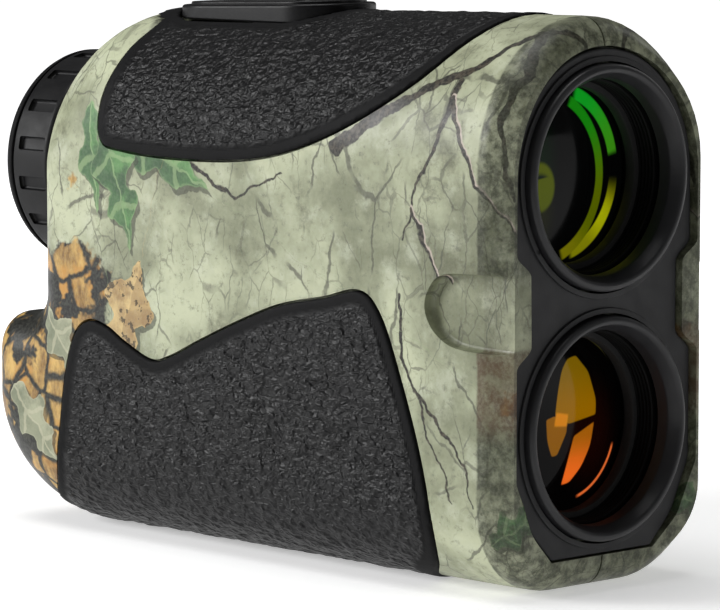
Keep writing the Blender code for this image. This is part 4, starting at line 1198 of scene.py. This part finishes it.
BRANCHES = (
    (((31.0, 58.0), (22.5, 62.8), (15.5, 66.8), (8.5, 70.4), (4.5, 76.0), (-1.0, 83.0)), 1.05, 0),
    (((10.5, 68.0), (11.6, 59.8), (15.4, 53.5), (17.6, 46.4)), 0.5, 0),
    (((16.4, 50.6), (13.8, 45.6), (10.6, 41.4)), 0.34, 1),
    (((10.8, 65.0), (7.0, 58.6), (4.8, 54.4), (1.4, 52.0), (-3.0, 48.0)), 0.42, 1),
    (((3.0, 78.0), (0.8, 70.5), (1.8, 63.5), (0.4, 57.0), (-2.0, 52.5)), 0.8, 0),
    (((18.6, 39.0), (18.2, 30.8), (15.2, 25.8), (12.2, 19.0), (8.4, 12.5)), 0.34, 0),
    (((15.2, 26.0), (9.8, 21.4), (6.4, 17.5), (5.2, 12.5)), 0.3, 0),
    (((60.5, 54.2), (50.5, 49.8), (41.0, 53.8)), 0.4, 0))


def camo_finish():
    """Printed leaf-and-bark pattern on satin plastic: sage haze, twigs, bark and leaves, with
    painted shade along the front lip.
    """
    g = Graph("camo_shell", Specular_IOR_Level=0.28)
    flat = unwrapped(g)
    s, z, _ = g.parts(flat)
    sway = g.node("TexNoise", {"Vector": g.at, "Scale": 0.3, "Detail": 3.0}, 1)
    sway = g.scale(g.add(sway, (-0.5, -0.5, -0.5)), 2.6)
    bent = g.stretch(g.add(flat, sway), (1.0, 1.0, 0.0))

    # sage and grey-green haze
    broad = g.step(g.noise(0.055, 5, rough=0.6), 0.36, 0.66)
    colour = g.mix(broad, (0.19, 0.205, 0.125), (0.5, 0.53, 0.36))
    pale = g.step(g.noise(0.16, 6, rough=0.65), 0.5, 0.72)
    colour = g.mix(g.times(pale, 0.55), colour, (0.56, 0.59, 0.45))
    moss = g.step(g.noise(0.11, 6, at=g.add(g.at, (31.0, 7.0, 3.0)), rough=0.7), 0.53, 0.7)
    colour = g.mix(g.times(moss, 0.8), colour, (0.11, 0.115, 0.065))
    speck = g.step(g.noise(0.9, 6, rough=0.75), 0.52, 0.74)
    colour = g.mix(g.times(speck, 0.7), colour, (0.08, 0.08, 0.055))

    # fine straggling twigs far back in the print
    for scale, thick, shift, ink in ((0.085, 0.016, 11.0, 0.75), (0.17, 0.02, 53.0, 0.6),
                                     (0.3, 0.028, 97.0, 0.45)):
        moved = g.add(bent, (shift, shift * 0.7, 0.0))
        leaning = g.stretch(moved, (1.0, 0.55, 1.0))
        web = g.cells(scale, at=leaning, feature="DISTANCE_TO_EDGE")
        mark = g.fall(web, thick * 0.4, thick)
        broken = g.step(g.noise(0.1, 2, at=g.add(g.at, (-shift, 5.0, shift))), 0.48, 0.57)
        mark = g.times(g.times(mark, broken), ink)
        colour = g.mix(mark, colour, (0.06, 0.06, 0.042))

    # rough bark at the battery end and along the front lip
    bark_noise = g.noise(0.085, 5, rough=0.6)
    rear_bark = g.plus(g.step(s, 68.0, 84.0, 0.0, 1.05), g.step(z, 33.0, 46.0, 0.1, -0.9))
    front_bark = g.plus(g.step(s, -1.0, 8.0, 0.75, -0.2),
                        g.times(g.size(g.minus(z, 31.0)), -0.07))
    bark = g.plus(g.math("MAXIMUM", rear_bark, front_bark),
                  g.math("MULTIPLY_ADD", bark_noise, 2.4, -1.3))
    bark = g.step(bark, 0.38, 0.5)
    plates = g.cells(0.2, at=bent, feature="DISTANCE_TO_EDGE")
    grain = g.noise(0.35, 6, at=g.stretch(g.at, (1.0, 1.0, 0.45)), rough=0.7)
    wood = g.mix(g.step(grain, 0.35, 0.68), (0.17, 0.085, 0.022), (0.62, 0.4, 0.12))
    wood = g.mix(g.step(g.noise(0.14, 3), 0.5, 0.62), wood, (0.5, 0.25, 0.05))
    wood = g.mix(g.step(s, 2.0, 14.0, 0.75, 0.0), wood, (0.1, 0.055, 0.02))
    wood = g.mix(g.fall(plates, 0.03, 0.12), wood, (0.008, 0.007, 0.005))
    hollow = g.step(g.noise(0.1, 4, at=g.add(g.at, (3.0, 71.0, 19.0)), rough=0.6), 0.5, 0.54)
    wood = g.mix(hollow, wood, (0.006, 0.006, 0.005))
    colour = g.mix(bark, colour, wood)

    # branches with a pale lit edge
    for path, width, lit in BRANCHES:
        away = branch(g, bent, path, width)
        if lit:
            edge = branch(g, g.add(bent, (0.12, -0.2, 0.0)), path, width + 0.04)
            colour = g.mix(g.fall(edge, -0.12, 0.12), colour, (0.5, 0.42, 0.36))
        inked = g.mix(g.step(g.noise(1.1, 4), 0.45, 0.62), (0.008, 0.006, 0.004),
                      (0.045, 0.034, 0.022))
        colour = g.mix(g.fall(away, -0.1, 0.12), colour, inked)

    # lobed leaves with veins and a drop shadow
    mottle = g.noise(0.28, 5, rough=0.65)
    dots = g.times(g.step(g.noise(0.85, 3, rough=0.6), 0.56, 0.62), 0.85)
    for base, tip, width, lobes, kind in LEAVES:
        shadow, _, _, _ = leaf(g, g.add(bent, (0.6, 0.7, 0.0)), base, tip, width, lobes)
        colour = g.mix(g.times(shadow, 0.7), colour, (0.02, 0.022, 0.012))
        mask, veins, rim, side = leaf(g, bent, base, tip, width, lobes)
        dark, light, edge = LEAF_COLOURS[kind]
        body = g.mix(g.step(mottle, 0.34, 0.66), dark, light)
        body = g.mix(g.times(side, 0.55), body, dark)
        body = g.mix(g.times(rim, 0.3), body, edge)
        body = g.mix(g.times(veins, 0.5 if kind != "tan" else 0.2), body, edge)
        if kind == "tan":
            body = g.mix(dots, body, (0.03, 0.018, 0.008))
        colour = g.mix(mask, colour, body)

    # painted shade, mixed with dark bark print, in a ragged band round the front lip, and painted
    # shade at the front of the far half
    uneven = g.math("MULTIPLY_ADD", g.noise(0.6, 3), 0.5, s)
    thumb = g.step(g.size(g.minus(z, LENS_MID / MM)), 4.3, 5.4, 0.3, 1.0)
    # painted shade over the front lip band, kept off the finger scallop
    lip = g.times(g.step(uneven, 4.3, 4.8, 0.92, 0.0), thumb)
    _, y, _ = g.parts(g.at)
    # painted shade at the front of the far half
    painted_far_half_shade = g.times(g.step(y, 0.0, 0.1), g.step(uneven, 7.0, 13.0, 0.9, 0.0))
    ridge = g.step(g.noise(0.5, 5, rough=0.7), 0.35, 0.65, 0.5, 1.0)
    lip_shade_tone = g.mix(g.fall(g.size(g.minus(z, 28.0)), 3.0, 8.0),
                 (0.022, 0.025, 0.011), (0.075, 0.038, 0.015))
    colour = g.mix(g.times(g.math("MAXIMUM", lip, painted_far_half_shade), ridge), colour, lip_shade_tone)

    # pale line where the two shells meet, and an even wear over everything
    parting = g.times(g.step(g.size(y), 0.07, 0.16, 0.7, 0.0), g.step(z, 40.0, 60.0))
    colour = g.mix(parting, colour, (0.42, 0.43, 0.36))
    wear = g.times(g.step(g.noise(2.2, 3), 0.3, 0.75), 0.08)
    colour = g.mix(wear, colour, (0.5, 0.52, 0.43))
    g.colour(colour)
    g.roughness(g.step(g.noise(0.4, 4), 0.3, 0.7, 0.34, 0.46))
    g.bump(g.noise(1.2, 4), 0.00002)
    return g.bump(g.cells(3.0), 0.000008).material


# ---------------------------------------------------------------- studio
def aimed(name, data, at, aim):
    """Place a camera or a light so that it looks from one place towards another."""
    obj = bpy.data.objects.new(name, data)
    obj.location = at
    obj.rotation_euler = (Vector(aim) - Vector(at)).to_track_quat("-Z", "Y").to_euler()
    bpy.context.scene.collection.objects.link(obj)
    return obj


def make_camera():
    """Camera at the three-quarter view of the front and the right-hand side."""
    camera = bpy.data.cameras.new("view")
    camera.lens = 225.0
    camera.sensor_width = 36.0
    camera.clip_start = 0.01
    camera.clip_end = 20.0
    bpy.context.scene.camera = aimed("view", camera, (0.4518, -0.4279, 0.1034),
                                     (0.0515, -0.0441, 0.0412))


def make_floor():
    """Plain pale floor that glows more brightly with distance and away from the camera."""
    bm = bmesh.new()
    rows = []
    long, broad, width = 40, 16, 3.2
    for k in range(long + 1):
        reach = width * (k / long) - width / 2
        rows.append([bm.verts.new((reach, -width / 2 + width * j / broad, 0.0))
                     for j in range(broad + 1)])
    for before, after in zip(rows, rows[1:]):
        for k in range(broad):
            bm.faces.new((before[k], after[k], after[k + 1], before[k + 1]))
    floor = from_bmesh("floor", bm)
    g = Graph("floor", Roughness=0.8, Specular_IOR_Level=0.2,
              Emission_Color=(1.0, 1.0, 1.0, 1.0))
    g.colour(g.mix(g.noise(0.002), (0.86, 0.86, 0.86), (0.88, 0.88, 0.88)))
    x, y, _ = g.parts(g.at)
    away = g.length(x, y)
    nearer = g.minus(g.times(x, 0.72), g.times(y, 0.69))
    glow = g.times(g.step(away, 90.0, 360.0, 0.42, 1.0), g.step(nearer, 65.0, 220.0, 1.0, 0.08))
    g.link(glow, g.shader.inputs["Emission Strength"])
    floor.data.materials.append(g.material)
    WORK.objects.unlink(floor)
    bpy.context.scene.collection.objects.link(floor)


def area_light(name, at, aim, size, power, height=None):
    """A soft box facing a point."""
    light = bpy.data.lights.new(name, "AREA")
    light.shape = "RECTANGLE"
    light.size = size
    light.size_y = height or size
    light.energy = power
    aimed(name, light, at, aim)


def make_lights():
    """Soft studio light: a top box, a strong box to the rear right, and two weak strips."""
    bpy.context.scene.view_settings.view_transform = "Standard"
    world = bpy.data.worlds.new("studio")
    world.use_nodes = True
    world.node_tree.nodes["Background"].inputs["Color"].default_value = (1.0, 1.0, 1.0, 1.0)
    world.node_tree.nodes["Background"].inputs["Strength"].default_value = 0.1
    bpy.context.scene.world = world
    aim = (0.0, 0.0, 0.04)
    area_light("top_box", (-0.1, -0.05, 0.7), aim, 0.45, 2.6)
    area_light("side_box", (-0.55, -0.62, 0.34), aim, 0.4, 6.0)
    area_light("front_strip", (0.8, 0.3, 0.35), aim, 0.1, 0.35, 0.6)
    area_light("rim_strip", (0.0, 0.7, 0.3), aim, 0.2, 0.4, 0.5)


# ---------------------------------------------------------------- carried-over nodes
CARRIED = {
    "device_metal": ("battery_spring", "door_contact", "fire_switch", "mode_switch",
                     "laser_module", "photodiode"),
    "circuit_board": ("main_board", "button_board", "detector_board"),
    "frame_plastic": ("battery_sleeve", "optical_chassis", "processor"),
    "screw_steel": ("case_screw_1", "case_screw_2", "case_screw_3", "case_screw_4",
                    "door_pin"),
    "battery_wrap": ("battery_cell",),
    "clear_glass": ("roof_prism", "half_prism", "display_panel"),
    "barrel_black": ("receiver_cone",),
}

FINISHES = {
    "camo": camo_finish(),
    "rubber": rubber_finish(),
    "bezel": moulded("bezel_black", (0.02, 0.02, 0.0215), 0.36, Specular_IOR_Level=0.3),
    "plate": moulded("plate_black", (0.019, 0.019, 0.02), 0.5, Specular_IOR_Level=0.25),
    "key": moulded("key_plastic", (0.0045, 0.0045, 0.005), 0.36, Specular_IOR_Level=0.2),
    "knob": moulded("knob_black", (0.006, 0.006, 0.0065), 0.42, Specular_IOR_Level=0.16),
    "barrel": moulded("barrel_black", (0.0022, 0.0022, 0.0022), 0.55, Specular_IOR_Level=0.08),
    "barrel_black": moulded("cone_black", (0.003, 0.003, 0.003), 0.6, Specular_IOR_Level=0.1),
    "seal": moulded("seal_rubber", (0.008, 0.008, 0.008), 0.75),
    "frame_plastic": moulded("frame_plastic", (0.05, 0.05, 0.055), 0.5),
    "upper_glass": upper_lens_painted_reflections(),
    "lower_glass": lower_lens_painted_reflections(),
    "eye_glass": clear_finish("eye_glass", (0.03, 0.035, 0.05), 0.15),
    "clear_glass": clear_finish("clear_glass", (0.86, 0.9, 0.92), 0.9),
    "circuit_board": board_finish(),
    "device_metal": metal_finish("device_metal", (0.55, 0.55, 0.56), 0.34, (0.2, 1.0, 1.0)),
    "screw_steel": metal_finish("screw_steel", (0.4, 0.4, 0.41), 0.3, (1.0, 0.2, 1.0)),
    "battery_wrap": battery_finish(),
}

make_shells(FINISHES["camo"])
make_plate(FINISHES["plate"])
make_objectives(FINISHES)
make_buttons(FINISHES)
make_eyepiece(FINISHES)
make_door(FINISHES["camo"])
gap = outline_solid("key_gap", island(GAP), *KEY_CUT, "top")
make_cover("top_cover", "top_grip", TOP_GRIP, FINISHES["rubber"], gap)
make_cover("low_cover", "lower_grip", LOWER_GRIP, FINISHES["rubber"])
for key, nodes in CARRIED.items():
    for node in nodes:
        mesh = frame["nodes"][node].data
        mesh.materials.clear()
        mesh.materials.append(FINISHES[key])
make_floor()
bpy.data.collections.remove(WORK)
make_lights()
make_camera()

bpy.context.view_layer.update()
